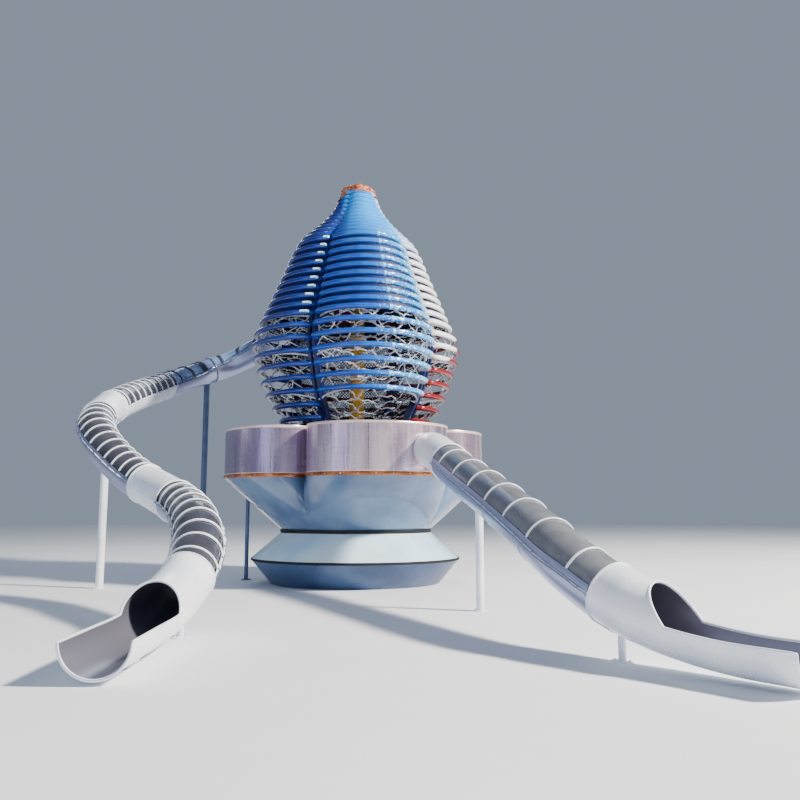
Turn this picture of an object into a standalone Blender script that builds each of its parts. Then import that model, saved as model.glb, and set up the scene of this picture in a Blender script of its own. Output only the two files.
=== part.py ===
"""Climbing tower shaped like a flower bud, with a long curved tube slide and a short one.

Metres, +Z up. The origin is on the ground, on the tower's axis, and -Y is the front.
Angles round the tower are measured from the front, positive toward +X.
"""

import math

import bmesh
import bpy
from mathutils import Vector

# Fits
GAP = 0.0003
LOBED_GAP = 0.002

# Round base, bottom to top
BASE_FOOT_RADIUS = 2.00
BASE_RIM_RADIUS = 2.47
BASE_HEIGHT = 0.56
BASE_FLOOR = 0.05
SKIRT_HEIGHT = 0.63
WAIST_RADIUS = 1.76
SEAM_HEIGHT = 0.018
SEAM_INSET = 0.03
SHELL_WALL = 0.12
ROUND_SIDES = 40

# Lobed drum
LOBES = 4
FIRST_CREST = math.radians(14)
LOBE_CENTRE = 0.38
LOBE_ARC = 0.62
VALLEY = 0.60
DRUM_RADIUS = 3.15
BOWL_HEIGHT = 1.19
BOWL_STEPS = 5
BAND_HEIGHT = 0.08
BAND_PROUD = 0.02
BAND_DEPTH = 0.11
WALL_HEIGHT = 1.06
WALL_THICKNESS = 0.04
WALL_RIM_HEIGHT = 0.06
WALL_RIM_DEPTH = 0.07

# Bud of bent pipes: height over the deck and crest radius, at the outer face of the pipes
BUD_PROFILE = (
    (1.334, 1.90),
    (1.854, 2.22),
    (2.504, 2.46),
    (3.134, 2.61),
    (4.004, 2.28),
    (5.004, 1.85),
    (5.724, 1.52),
    (6.304, 0.94),
    (6.704, 0.63),
    (7.254, 0.42),
)
PIPE = 0.125
LOWEST_RING = 1.308
LOWER_PITCH = 0.298
UPPER_PITCH = 0.22
RINGS = 18
LOWER_TIER_RINGS = 9
LINING_INSET = 0.09
LINING_FLARE = 0.02
FRONT_OPENING_RINGS = 2
PIPE_CLEARANCE = 0.01
RIB_DEPTH = 0.16
VALLEY_SHARE = 0.80
QUARTER_SHARE = 0.45
CROWN_HEIGHT = 7.204
CROWN_PIPES = 13
CROWN_WALL = 0.10
CROWN_GROOVE = 0.03
CROWN_SHARES = (-1, -0.6, 0, 0.6)
CAP_RADIUS = 0.44
CAP_HEIGHT = 0.29
CAP_STEM_RADIUS = 0.09
CAP_PROFILE = ((1.0, 0.0), (1.04, 0.35), (0.85, 0.75), (0.35, 1.0))

# Column and rope nets, each one a shallow cone that falls toward the column
COLUMN_RADIUS = 0.18
COLUMN_HEIGHT = 6.704
COLUMN_SIDES = 20
NET_RINGS = (2, 5, 8)
NET_DROPS = (0.75, 0.45, 0.30)
ROPE = 0.035
NET_SPOKES = 8
NET_ROPE_RADII = (0.55, 0.95)
NET_PASSAGES = (0, 3, 6)

# Tube slides
TUBE_RADIUS = 0.37
TUBE_WALL = 0.012
TUBE_SIDES = 12
HOOP_DEPTH = 0.022
COVER_CLEARANCE = 0.0005
HOOP_WIDTH = 0.07
RAIL_ANGLE = math.radians(6)
LIP = 0.035
COLLAR_WIDTH = 0.05
COLLAR_DEPTH = 0.03
LEFT_START_HEIGHT = 4.354
RIGHT_START_HEIGHT = 0.474
LEFT_ROUTE = (
    (-0.90, 1.40, 6.85),
    (-1.50, 2.30, 6.82),
    (-2.25, 3.30, 6.68),
    (-3.05, 4.05, 6.37),
    (-3.85, 4.25, 6.02),
    (-4.55, 3.85, 5.68),
    (-5.05, 2.80, 5.25),
    (-5.37, 1.34, 4.78),
    (-5.55, -0.40, 4.27),
    (-5.58, -1.75, 3.82),
    (-5.40, -2.75, 3.40),
    (-5.02, -3.38, 2.98),
    (-4.52, -3.85, 2.56),
    (-3.98, -4.33, 2.22),
    (-3.40, -4.98, 1.96),
    (-2.86, -5.85, 1.73),
    (-2.48, -6.81, 1.45),
    (-2.33, -7.43, 1.15),
    (-2.32, -8.04, 0.82),
    (-2.42, -8.70, 0.55),
    (-2.49, -9.50, 0.44),
    (-2.53, -10.50, 0.42),
    (-2.54, -11.40, 0.42),
)
RIGHT_ROUTE = (
    (1.50, -1.85, 2.97),
    (1.53, -2.40, 2.97),
    (1.56, -2.90, 2.95),
    (1.62, -3.35, 2.87),
    (1.89, -4.84, 2.43),
    (2.26, -7.16, 1.80),
    (2.50, -8.80, 1.34),
    (2.66, -9.60, 1.06),
    (2.88, -10.10, 0.82),
    (3.05, -10.45, 0.68),
    (3.30, -10.85, 0.55),
    (3.75, -11.50, 0.44),
    (4.25, -12.20, 0.42),
)
# Where each section ends along its slide, in metres from the slide's start
LEFT_ENTRY_END = 1.30
LEFT_WINDOWS_END = 7.20
LEFT_UPPER_END = 10.70
LEFT_BEND_END = 11.80
LEFT_MIDDLE_END = 15.00
LEFT_JOINT_END = 16.35
LEFT_LOWER_END = 19.40
LEFT_MOUTH = 20.60
LEFT_RAKE = 0.25
LEFT_WINDOWS = 8
LEFT_WINDOWS_JOINTS = (2, 5)
LEFT_UPPER_HOOPS = 8
LEFT_UPPER_JOINTS = (4,)
LEFT_MIDDLE_HOOPS = 11
LEFT_LOWER_HOOPS = 8
RIGHT_ENTRY_END = 2.50
RIGHT_RUN_END = 8.90
RIGHT_MOUTH = 9.50
RIGHT_RAKE = 0.40
RIGHT_HOOPS = 7
RIGHT_JOINTS = (4,)
SOLID_STEP = 0.32
STRAIGHT_STEP = 0.80

# Posts: place on the ground, radius, and the slide that each one carries
POST_RADIUS = 0.06
LEG_RADIUS = 0.05
FOOT_RADIUS = 0.13
FOOT_HEIGHT = 0.015
POST_SIDES = 12
LEFT_POSTS = {
    "left_slide_tall_post": (-4.42, 3.98, POST_RADIUS),
    "left_slide_bend_post": (-5.60, -1.38, POST_RADIUS),
    "left_slide_end_leg": (-2.35, -8.35, LEG_RADIUS),
    "left_slide_mouth_leg": (-2.53, -10.60, LEG_RADIUS),
}
RIGHT_POSTS = {
    "right_slide_post": (2.12, -5.75, POST_RADIUS),
    "right_slide_end_leg": (3.02, -10.39, LEG_RADIUS),
}
SADDLE_GAP = 0.0008
DECK_LEG_ANGLE = math.radians(-104)
DECK_LEG_INSET = 0.12

# Heights that follow from the sizes above
SKIRT_BOTTOM = BASE_HEIGHT + SEAM_HEIGHT
WAIST_HEIGHT = SKIRT_BOTTOM + SKIRT_HEIGHT
BOWL_BOTTOM = WAIST_HEIGHT + SEAM_HEIGHT
BOWL_TOP = BOWL_BOTTOM + BOWL_HEIGHT
DECK_HEIGHT = BOWL_TOP + BAND_HEIGHT
CROWN_TOP = DECK_HEIGHT + CROWN_HEIGHT
COLUMN_TOP = DECK_HEIGHT + COLUMN_HEIGHT
BAND_INNER_RADIUS = DRUM_RADIUS + BAND_PROUD - BAND_DEPTH
HALF_LOBE = math.pi / LOBES


def clear_scene():
    """Remove everything that the file opened with."""
    for thing in list(bpy.data.objects):
        bpy.data.objects.remove(thing, do_unlink=True)


def paint(name, red, green, blue, roughness, metallic=0.0, alpha=1.0):
    """A Principled material with one colour."""
    material = bpy.data.materials.new(name)
    material.use_nodes = True
    shader = material.node_tree.nodes["Principled BSDF"]
    shader.inputs["Base Color"].default_value = (red, green, blue, 1.0)
    shader.inputs["Roughness"].default_value = roughness
    shader.inputs["Metallic"].default_value = metallic
    shader.inputs["Alpha"].default_value = alpha
    return material


def add_object(name, bm, material):
    """Make a named object of a finished bmesh, with its faces turned outward."""
    bmesh.ops.recalc_face_normals(bm, faces=bm.faces)
    mesh = bpy.data.meshes.new(name)
    bm.to_mesh(mesh)
    bm.free()
    mesh.materials.append(material)
    mesh.shade_smooth()
    mesh.set_sharp_from_angle(angle=math.radians(35))
    thing = bpy.data.objects.new(name, mesh)
    bpy.context.scene.collection.objects.link(thing)
    return thing


def thick_grid(name, outer, inner, material, keep=None, wrap=False):
    """A closed solid between two matching grids of points, with an edge round each opening.

    keep(i, j) says whether the cell from row i to i+1 and column j to j+1 is filled, and
    wrap joins the last column to the first.
    """
    rows = len(outer) - 1
    columns = len(outer[0]) - (0 if wrap else 1)
    points = len(outer[0])
    bm = bmesh.new()
    made = {}

    def vertex(side, i, j):
        key = (side, i, j % points)
        if key not in made:
            made[key] = bm.verts.new((outer, inner)[side][i][j % points])
        return made[key]

    def filled(i, j):
        if not 0 <= i < rows:
            return False
        if wrap:
            j %= columns
        elif not 0 <= j < columns:
            return False
        return keep is None or keep(i, j)

    for i in range(rows):
        for j in range(columns):
            if not filled(i, j):
                continue
            corners = ((i, j), (i + 1, j), (i + 1, j + 1), (i, j + 1))
            bm.faces.new([vertex(0, *corner) for corner in corners])
            bm.faces.new([vertex(1, *corners[k]) for k in (0, 3, 2, 1)])
            for number, beside in enumerate(((i, j - 1), (i + 1, j), (i, j + 1), (i - 1, j))):
                if not filled(*beside):
                    start = corners[number]
                    end = corners[(number + 1) % 4]
                    bm.faces.new(
                        (vertex(0, *end), vertex(0, *start), vertex(1, *start), vertex(1, *end))
                    )
    return add_object(name, bm, material)


def stacked(name, loops, material, capped=True):
    """A solid through successive closed loops, capped at its ends or joined end to end."""
    bm = bmesh.new()
    rings = [[bm.verts.new(point) for point in loop] for loop in loops]
    pairs = list(zip(rings, rings[1:]))
    if capped:
        bm.faces.new(rings[0])
        bm.faces.new(rings[-1])
    else:
        pairs.append((rings[-1], rings[0]))
    for low, high in pairs:
        for k in range(len(low)):
            n = (k + 1) % len(low)
            bm.faces.new((low[k], low[n], high[n], high[k]))
    return add_object(name, bm, material)


def polar(radius, angle, height):
    """The point at an angle from the front, round the tower's axis."""
    return Vector((radius * math.sin(angle), -radius * math.cos(angle), height))


def round_loop(radius, height, sides=ROUND_SIDES):
    """A circle of points round the tower's axis."""
    return [polar(radius, 2 * math.pi * k / sides, height) for k in range(sides)]


def lobe_arc(off_crest):
    """Radius of the round part of a lobe at an angle from its crest, for a crest radius of 1."""
    across = LOBE_CENTRE * math.sin(off_crest)
    return LOBE_CENTRE * math.cos(off_crest) + math.sqrt(LOBE_ARC**2 - across**2)


def lobe_ratio(off_crest):
    """Radius of a closed lobed outline at an angle from the crest, for a crest radius of 1."""
    fall = math.sqrt(max(0.0, 1 - (abs(off_crest) / HALF_LOBE) ** 6))
    return VALLEY + (lobe_arc(off_crest) - VALLEY) * fall


LOBE_SHARES = (-1, -0.96, -0.85, -0.6, -0.3, 0, 0.3, 0.6, 0.85, 0.96)


def lobed_loop(radius, height, lobing=1.0, shares=LOBE_SHARES):
    """A closed loop with a lobe in each quarter; lobing 0 makes it round."""
    loop = []
    for lobe in range(LOBES):
        crest = FIRST_CREST + 2 * HALF_LOBE * lobe
        for share in shares:
            off_crest = share * HALF_LOBE
            ratio = 1 + lobing * (lobe_ratio(off_crest) - 1)
            loop.append(polar(radius * ratio, crest + off_crest, height))
    return loop


def offset_path(path, distance):
    """An open plan path moved sideways by distance, mitred at its corners."""
    moved = []
    for k, here in enumerate(path):
        before = path[max(k - 1, 0)]
        after = path[min(k + 1, len(path) - 1)]
        first = ((here - before) if k > 0 else (after - here)).normalized()
        second = ((after - here) if k < len(path) - 1 else (here - before)).normalized()
        normal = Vector((first.y + second.y, -first.x - second.x)).normalized()
        stretch = normal.x * first.y - normal.y * first.x
        moved.append(here + normal * (distance / stretch))
    return moved


def turned(path, crest, height):
    """A plan path drawn with its crest along +X, turned to its place round the tower."""
    angle = crest - math.pi / 2
    cosine = math.cos(angle)
    sine = math.sin(angle)
    return [
        Vector((p.x * cosine - p.y * sine, p.x * sine + p.y * cosine, height)) for p in path
    ]


def build_base(paints):
    """The two cones of the base, their seams and the lobed bowl."""
    base_wall = SHELL_WALL / 2
    stacked(
        "base_shell",
        [
            round_loop(BASE_FOOT_RADIUS, 0),
            round_loop(BASE_RIM_RADIUS, BASE_HEIGHT),
            round_loop(BASE_RIM_RADIUS - SHELL_WALL, BASE_HEIGHT),
            round_loop(BASE_FOOT_RADIUS - base_wall, BASE_FLOOR),
        ],
        paints["base"],
    )
    seam(paints, "base_seam", BASE_RIM_RADIUS, BASE_HEIGHT)
    stacked(
        "skirt_shell",
        [
            round_loop(BASE_RIM_RADIUS, SKIRT_BOTTOM + GAP),
            round_loop(WAIST_RADIUS, WAIST_HEIGHT),
            round_loop(WAIST_RADIUS - SHELL_WALL, WAIST_HEIGHT),
            round_loop(BASE_RIM_RADIUS - SHELL_WALL, SKIRT_BOTTOM + GAP),
        ],
        paints["bowl"],
        capped=False,
    )
    seam(paints, "waist_seam", WAIST_RADIUS, WAIST_HEIGHT)
    outer = bowl_loops(range(BOWL_STEPS + 1))
    inner = bowl_loops((BOWL_STEPS, BOWL_STEPS // 2, 0), -SHELL_WALL, -BAND_DEPTH)
    stacked("bowl_shell", outer + inner, paints["bowl"], capped=False)


def bowl_loops(steps, extra=0.0, extra_at_rim=0.0):
    """Loops of the bowl, round at the waist and lobed at the rim, moved out by extra."""
    loops = []
    for step in steps:
        share = step / BOWL_STEPS
        radius = WAIST_RADIUS + (DRUM_RADIUS - WAIST_RADIUS) * share
        height = BOWL_BOTTOM + GAP + (BOWL_HEIGHT - GAP) * share
        loops.append(lobed_loop(radius + extra + extra_at_rim * share, height, share**2))
    return loops


def seam(paints, name, radius, height):
    """The dark recessed ring between two shells."""
    top = height + SEAM_HEIGHT
    stacked(
        name,
        [
            round_loop(radius - SEAM_INSET, height + GAP),
            round_loop(radius - SEAM_INSET, top),
            round_loop(radius - SHELL_WALL, top),
            round_loop(radius - SHELL_WALL, height + GAP),
        ],
        paints["seam"],
        capped=False,
    )


def build_drum(paints):
    """The deck, its edge band and the barrier wall, one piece to a lobe."""
    band_bottom = BOWL_TOP + GAP
    stacked(
        "deck_edge_band",
        [
            lobed_loop(DRUM_RADIUS + BAND_PROUD, band_bottom),
            lobed_loop(DRUM_RADIUS + BAND_PROUD, DECK_HEIGHT),
            lobed_loop(BAND_INNER_RADIUS, DECK_HEIGHT),
            lobed_loop(BAND_INNER_RADIUS, band_bottom),
        ],
        paints["copper"],
        capped=False,
    )
    deck_radius = BAND_INNER_RADIUS - LOBED_GAP
    stacked(
        "deck_plate",
        [lobed_loop(deck_radius, band_bottom), lobed_loop(deck_radius, DECK_HEIGHT)],
        paints["deck"],
    )
    shares = LOBE_SHARES + (1,)
    trim = GAP / (2 * VALLEY * DRUM_RADIUS)
    path = []
    for share in shares:
        off_crest = max(-HALF_LOBE + trim, min(HALF_LOBE - trim, share * HALF_LOBE))
        radius = DRUM_RADIUS * lobe_ratio(off_crest)
        path.append(Vector((radius * math.cos(off_crest), radius * math.sin(off_crest))))
    wall_path = offset_path(path, -WALL_THICKNESS)
    rim_path = offset_path(path, -WALL_RIM_DEPTH)
    bottom = DECK_HEIGHT + GAP
    top = DECK_HEIGHT + WALL_HEIGHT
    rim = top - WALL_RIM_HEIGHT
    walls = []
    for lobe, side in enumerate(("front", "right", "back", "left")):
        crest = FIRST_CREST + 2 * HALF_LOBE * lobe
        outer = [turned(path, crest, height) for height in (bottom, rim, rim + GAP, top)]
        inner = [turned(wall_path, crest, height) for height in (bottom, rim)]
        inner += [turned(rim_path, crest, height) for height in (rim, top)]
        walls.append(thick_grid("wall_" + side, outer, inner, paints["steel"]))
    return walls


def bud_radius(height):
    """Crest radius of the bud at a height, as a smooth curve through its profile."""
    points = [(DECK_HEIGHT + rise, radius) for rise, radius in BUD_PROFILE]
    if height <= points[0][0]:
        return points[0][1]
    if height >= points[-1][0]:
        return points[-1][1]
    k = max(n for n in range(len(points) - 1) if points[n][0] <= height)

    def slope(n):
        low = points[max(n - 1, 0)]
        high = points[min(n + 1, len(points) - 1)]
        return (high[1] - low[1]) / (high[0] - low[0])

    (z0, r0), (z1, r1) = points[k], points[k + 1]
    span = z1 - z0
    t = (height - z0) / span
    return (
        r0 * (2 * t**3 - 3 * t**2 + 1)
        + r1 * (3 * t**2 - 2 * t**3)
        + slope(k) * span * (t**3 - 2 * t**2 + t)
        + slope(k + 1) * span * (t**3 - t**2)
    )


def ring_height(ring):
    """Height of a pipe ring's middle; the rings of the upper tier stand closer together."""
    lower = min(ring, LOWER_TIER_RINGS - 1)
    return DECK_HEIGHT + LOWEST_RING + lower * LOWER_PITCH + (ring - lower) * UPPER_PITCH


def petal_path(ring):
    """Middle line of one bent pipe, crest along +X: a round back with both ends turned in."""
    radius = bud_radius(ring_height(ring)) - PIPE / 2
    beside = (PIPE + PIPE_CLEARANCE) / 2
    along = Vector((math.cos(HALF_LOBE), math.sin(HALF_LOBE)))
    across = Vector((math.sin(HALF_LOBE), -math.cos(HALF_LOBE)))
    valley = VALLEY_SHARE * radius
    half = [along * (reach) + across * beside for reach in (valley - RIB_DEPTH, valley)]
    quarter = HALF_LOBE * QUARTER_SHARE
    reach = lobe_arc(quarter) * radius
    half.append(Vector((reach * math.cos(quarter), reach * math.sin(quarter))))
    mirrored = [Vector((p.x, -p.y)) for p in half]
    return mirrored + [Vector((radius, 0))] + half[::-1]


def petal_grids(rows, lobe):
    """Outer and inner points of a petal; each row is a height, a ring and an inset."""
    crest = FIRST_CREST + 2 * HALF_LOBE * lobe
    outer = []
    inner = []
    for height, ring, inset in rows:
        path = petal_path(ring)
        outer.append(turned(offset_path(path, PIPE / 2 - inset), crest, height))
        inner.append(turned(offset_path(path, -PIPE / 2), crest, height))
    return outer, inner


def open_tier(name, lobe, first, material):
    """The lower pipes of one petal, open between them, with the ribs that carry them."""
    rows = [(DECK_HEIGHT + GAP, 0, 0)]
    for ring in range(first, LOWER_TIER_RINGS):
        middle = ring_height(ring)
        rows += [(middle - PIPE / 2, ring, 0), (middle + PIPE / 2, ring, 0)]
    outer, inner = petal_grids(rows, lobe)
    last = len(outer[0]) - 2
    return thick_grid(
        name, outer, inner, material, keep=lambda i, j: i % 2 == 1 or j in (0, last)
    )


def lined_tier(name, lobe, material):
    """The upper pipes of one petal, with the lining that closes the gaps between them."""
    below = LOWER_TIER_RINGS - 1
    rows = [(ring_height(below) + PIPE / 2 + GAP, below, LINING_INSET)]
    for ring in range(LOWER_TIER_RINGS, RINGS):
        low = ring_height(ring) - PIPE / 2
        high = ring_height(ring) + PIPE / 2
        rows += [(low - LINING_FLARE, ring, LINING_INSET), (low, ring, 0)]
        rows += [(high, ring, 0), (high + LINING_FLARE, ring, LINING_INSET)]
    return thick_grid(name, *petal_grids(rows[:-1], lobe), material)


def build_bud(paints):
    """Four petals of stacked pipes, in two tiers each; returns the upper tiers."""
    tiers = {}
    for lobe, side in enumerate(("front", "right", "back", "left")):
        first = FRONT_OPENING_RINGS if side == "front" else 0
        open_tier(f"petal_{side}_lower", lobe, first, paints[side])
        tiers[side] = lined_tier(f"petal_{side}_upper", lobe, paints[side])
    return tiers


def build_crown(paints):
    """The closely stacked pipes at the top, the cap over them and the column below."""
    shares = CROWN_SHARES
    bottom = ring_height(RINGS - 1) + PIPE / 2 + GAP
    pitch = (CROWN_TOP - bottom) / CROWN_PIPES
    outer = []
    for pipe in range(CROWN_PIPES):
        groove = bottom + pipe * pitch
        ridge = groove + pitch / 2
        outer.append(lobed_loop(bud_radius(groove) - CROWN_GROOVE, groove, shares=shares))
        outer.append(lobed_loop(bud_radius(ridge), ridge, shares=shares))
    outer.append(lobed_loop(bud_radius(CROWN_TOP) - CROWN_GROOVE, CROWN_TOP, shares=shares))
    inner = []
    for share in (1.0, 0.6, 0.3, 0.0):
        height = bottom + (CROWN_TOP - bottom) * share
        inner.append(lobed_loop(bud_radius(height) - CROWN_WALL, height, shares=shares))
    stacked("crown_pipes", outer + inner, paints["left"], capped=False)

    sides = LOBES * len(shares)
    cap_bottom = CROWN_TOP + GAP
    cap = [round_loop(CAP_STEM_RADIUS, COLUMN_TOP + GAP, sides)]
    cap.append(round_loop(CAP_STEM_RADIUS, cap_bottom, sides))
    for share, rise in CAP_PROFILE:
        cap.append(
            lobed_loop(CAP_RADIUS * share, cap_bottom + CAP_HEIGHT * rise, 1 - rise / 2, shares)
        )
    stacked("crown_cap", cap, paints["cap"])
    stacked(
        "centre_column",
        [
            round_loop(COLUMN_RADIUS, DECK_HEIGHT + GAP, COLUMN_SIDES),
            round_loop(COLUMN_RADIUS, COLUMN_TOP, COLUMN_SIDES),
        ],
        paints["gold"],
    )


def build_net(name, ring, drop, passage, paints):
    """A net tied inside one ring of pipes, which falls to its collar round the column."""
    height = ring_height(ring) - ROPE / 2
    collar = (COLUMN_RADIUS + GAP) / math.cos(math.pi / NET_SPOKES)
    radii = [collar, collar + ROPE]
    for radius in NET_ROPE_RADII:
        radii += [radius - ROPE / 2, radius + ROPE / 2]
    columns = []
    for spoke in range(NET_SPOKES):
        angle = FIRST_CREST + 2 * math.pi * (spoke + 0.5) / NET_SPOKES
        off_crest = (angle - FIRST_CREST + HALF_LOBE) % (2 * HALF_LOBE) - HALF_LOBE
        rim = pipe_reach(ring, off_crest)
        slope = drop / (rim - collar)
        for side in (-1, 1):
            end = pipe_reach(ring, off_crest + side * ROPE / (2 * rim))
            columns.append(
                [
                    polar_beside(r, angle, side * ROPE / 2, height - slope * (rim - r))
                    for r in radii + [end]
                ]
            )
    grid = [[column[row] for column in columns] for row in range(len(radii) + 1)]
    top = [[point + Vector((0, 0, ROPE)) for point in row] for row in grid]

    def keep(i, j):
        on_spoke = j % 2 == 0
        missing = i == 2 and j == 2 * passage + 1
        return on_spoke or (i in (0, 2, 4) and not missing)

    return thick_grid(name, top, grid, paints["rope"], keep=keep, wrap=True)


def polar_beside(radius, angle, sideways, height):
    """A point at a radius along a spoke, moved sideways by half the spoke's width."""
    along = math.sqrt(max(radius**2 - sideways**2, 0))
    spoke = polar(along, angle, height)
    return spoke + Vector((math.cos(angle), math.sin(angle), 0)) * sideways


def pipe_reach(ring, off_crest):
    """Distance from the axis to the inner face of a bent pipe, along a line off the crest."""
    path = offset_path(petal_path(ring), -PIPE / 2 - GAP)
    ray = Vector((math.cos(off_crest), math.sin(off_crest)))
    for start, end in zip(path, path[1:]):
        side = end - start
        cross = ray.x * side.y - ray.y * side.x
        share = (start.y * ray.x - start.x * ray.y) / -cross
        if 0 <= share <= 1:
            return (start + side * share).length
    return path[len(path) // 2].length


class Route:
    """A slide's smooth centre line, read by the distance from its start.

    The heights are scaled together so that the line starts at start_height.
    """

    def __init__(self, points, start_height, samples=24):
        rise = start_height / points[0][2]
        points = [Vector((x, y, z * rise)) for x, y, z in points]
        knots = [2 * points[0] - points[1]] + points
        knots.append(2 * knots[-1] - knots[-2])
        self.line = []
        for p0, p1, p2, p3 in zip(knots, knots[1:], knots[2:], knots[3:]):
            for k in range(samples):
                self.line.append(self.between(p0, p1, p2, p3, k / samples))
        self.line.append(knots[-2])
        self.marks = [0.0]
        for before, after in zip(self.line, self.line[1:]):
            self.marks.append(self.marks[-1] + (after - before).length)

    @staticmethod
    def between(p0, p1, p2, p3, share):
        """A point of the centripetal curve between p1 and p2."""
        t1 = (p1 - p0).length ** 0.5
        t2 = t1 + (p2 - p1).length ** 0.5
        t3 = t2 + (p3 - p2).length ** 0.5
        t = t1 + (t2 - t1) * share
        a1 = p0.lerp(p1, t / t1)
        a2 = p1.lerp(p2, (t - t1) / (t2 - t1))
        a3 = p2.lerp(p3, (t - t2) / (t3 - t2))
        b1 = a1.lerp(a2, t / t2)
        b2 = a2.lerp(a3, (t - t1) / (t3 - t1))
        return b1.lerp(b2, (t - t1) / (t2 - t1))

    @property
    def length(self):
        return self.marks[-1]

    def at(self, distance):
        """The centre line's point at a distance along it."""
        distance = max(0.0, min(self.length, distance))
        k = max(n for n in range(len(self.marks) - 1) if self.marks[n] <= distance)
        span = self.marks[k + 1] - self.marks[k]
        return self.line[k].lerp(self.line[k + 1], (distance - self.marks[k]) / span)

    def frame(self, distance):
        """Centre, sideways and upward directions of the tube's section at a distance."""
        reach = 0.05
        ahead = self.at(distance + reach) - self.at(distance - reach)
        side = ahead.cross(Vector((0, 0, 1))).normalized()
        return self.at(distance), side, side.cross(ahead).normalized()

    def point(self, distance, angle, radius):
        """A point of the tube's wall; angle 0 is its right edge and a quarter turn its top."""
        centre, side, up = self.frame(distance)
        return centre + side * (radius * math.cos(angle)) + up * (radius * math.sin(angle))


def spread(start, end, count):
    """Evenly spaced values from start to end."""
    return [start + (end - start) * k / count for k in range(count + 1)]


def tube_rows(route, stations, angles, radius):
    """A grid of points on the tube's wall."""
    return [[route.point(s, a, radius) for a in angles] for s in stations]


def steps_between(start, end):
    """Stations along a solid section, a touch short of its neighbours at both ends."""
    return spread(start + GAP / 2, end - GAP / 2, max(1, round((end - start) / SOLID_STEP)))


def full_circle():
    """The angles of a full tube's corners."""
    return [2 * math.pi * k / TUBE_SIDES for k in range(TUBE_SIDES)]


def collared(stations):
    """Stations of a full tube and how far each stands out, with a collar at either end."""
    first, last = stations[0], stations[-1]
    places = [(first, COLLAR_DEPTH), (first + COLLAR_WIDTH, 0.0)]
    places += [(s, 0.0) for s in stations[1:-1]]
    return places + [(last - COLLAR_WIDTH, 0.0), (last, COLLAR_DEPTH)]


def solid_tube(name, route, stations, material):
    """A full tube with a raised collar at each end."""
    places = collared(stations)
    angles = full_circle()
    outer = [[route.point(s, a, TUBE_RADIUS + rise) for a in angles] for s, rise in places]
    inner = tube_rows(route, [s for s, rise in places], angles, TUBE_RADIUS - TUBE_WALL)
    return thick_grid(name, outer, inner, material, wrap=True)


def entry_cutter(name, route, stations, material):
    """A solid rod that follows a collared tube, with the seat's clearance all round."""
    reach = TUBE_RADIUS + SADDLE_GAP
    rows = [
        [route.point(s, a, reach + rise) for a in full_circle()]
        for s, rise in collared(stations)
    ]
    back = (route.at(stations[0]) - route.at(stations[1])).normalized() * COLLAR_WIDTH
    rows.insert(0, [point + back for point in rows[0]])
    return stacked(name, rows, material)


def tube_cutter(name, route, stations, radius, material):
    """A solid rod along the slide, to cut its way through another piece."""
    return stacked(name, tube_rows(route, stations, full_circle(), radius), material)


def end_stations(route, start, mouth, rake):
    """Stations of an end section, as those of its full tube and those of its open trough."""
    full = steps_between(start, mouth)
    return full, spread(mouth + rake, route.length, round((route.length - mouth) / SOLID_STEP))


def end_tube(name, route, start, mouth, rake, material):
    """The last section: a full tube, then an open trough beyond a raked mouth."""
    angles = full_circle()
    before, beyond = end_stations(route, start, mouth, rake)

    def rows(radius):
        grid = tube_rows(route, before[:-1], angles, radius)
        grid.append(
            [route.point(mouth + rake * (1 - max(0, math.sin(a))), a, radius) for a in angles]
        )
        return grid + tube_rows(route, beyond[1:], angles, radius)

    full_rows = len(before) - 1
    return thick_grid(
        name,
        rows(TUBE_RADIUS),
        rows(TUBE_RADIUS - TUBE_WALL),
        material,
        keep=lambda i, j: i < full_rows or j >= TUBE_SIDES // 2,
        wrap=True,
    )


def hoop_stations(start, end, hoops, step=SOLID_STEP, joints=()):
    """Stations of a hooped section, the rows between them that hold a hoop, and its joints.

    At a joint, which comes after so many hoops, one sheet meets the next.
    """
    stations = [start + GAP / 2]
    rows = []
    places = []

    def reach(station):
        steps = max(1, round((station - stations[-1]) / step))
        stations.extend(spread(stations[-1], station, steps)[1:])

    pitch = (end - start) / hoops
    for hoop in range(hoops):
        if hoop in joints:
            reach(start + hoop * pitch)
            places.append(stations[-1])
        edge = start + (hoop + 0.5) * pitch - HOOP_WIDTH / 2
        reach(edge)
        rows.append(len(stations) - 1)
        stations.append(edge + HOOP_WIDTH)
    reach(end - GAP / 2)
    return stations, rows, places


def parted(name, stations, places):
    """Name and stations of each sheet of a section that is parted at the places."""
    if not places:
        return [(name, stations)]
    sheets, rest = [], stations
    for place in places:
        sheets.append([s for s in rest if s < place] + [place - GAP / 2])
        rest = [place + GAP / 2] + [s for s in rest if s > place]
    return [(f"{name}_{n + 1}", sheet) for n, sheet in enumerate([*sheets, rest])]


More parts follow.
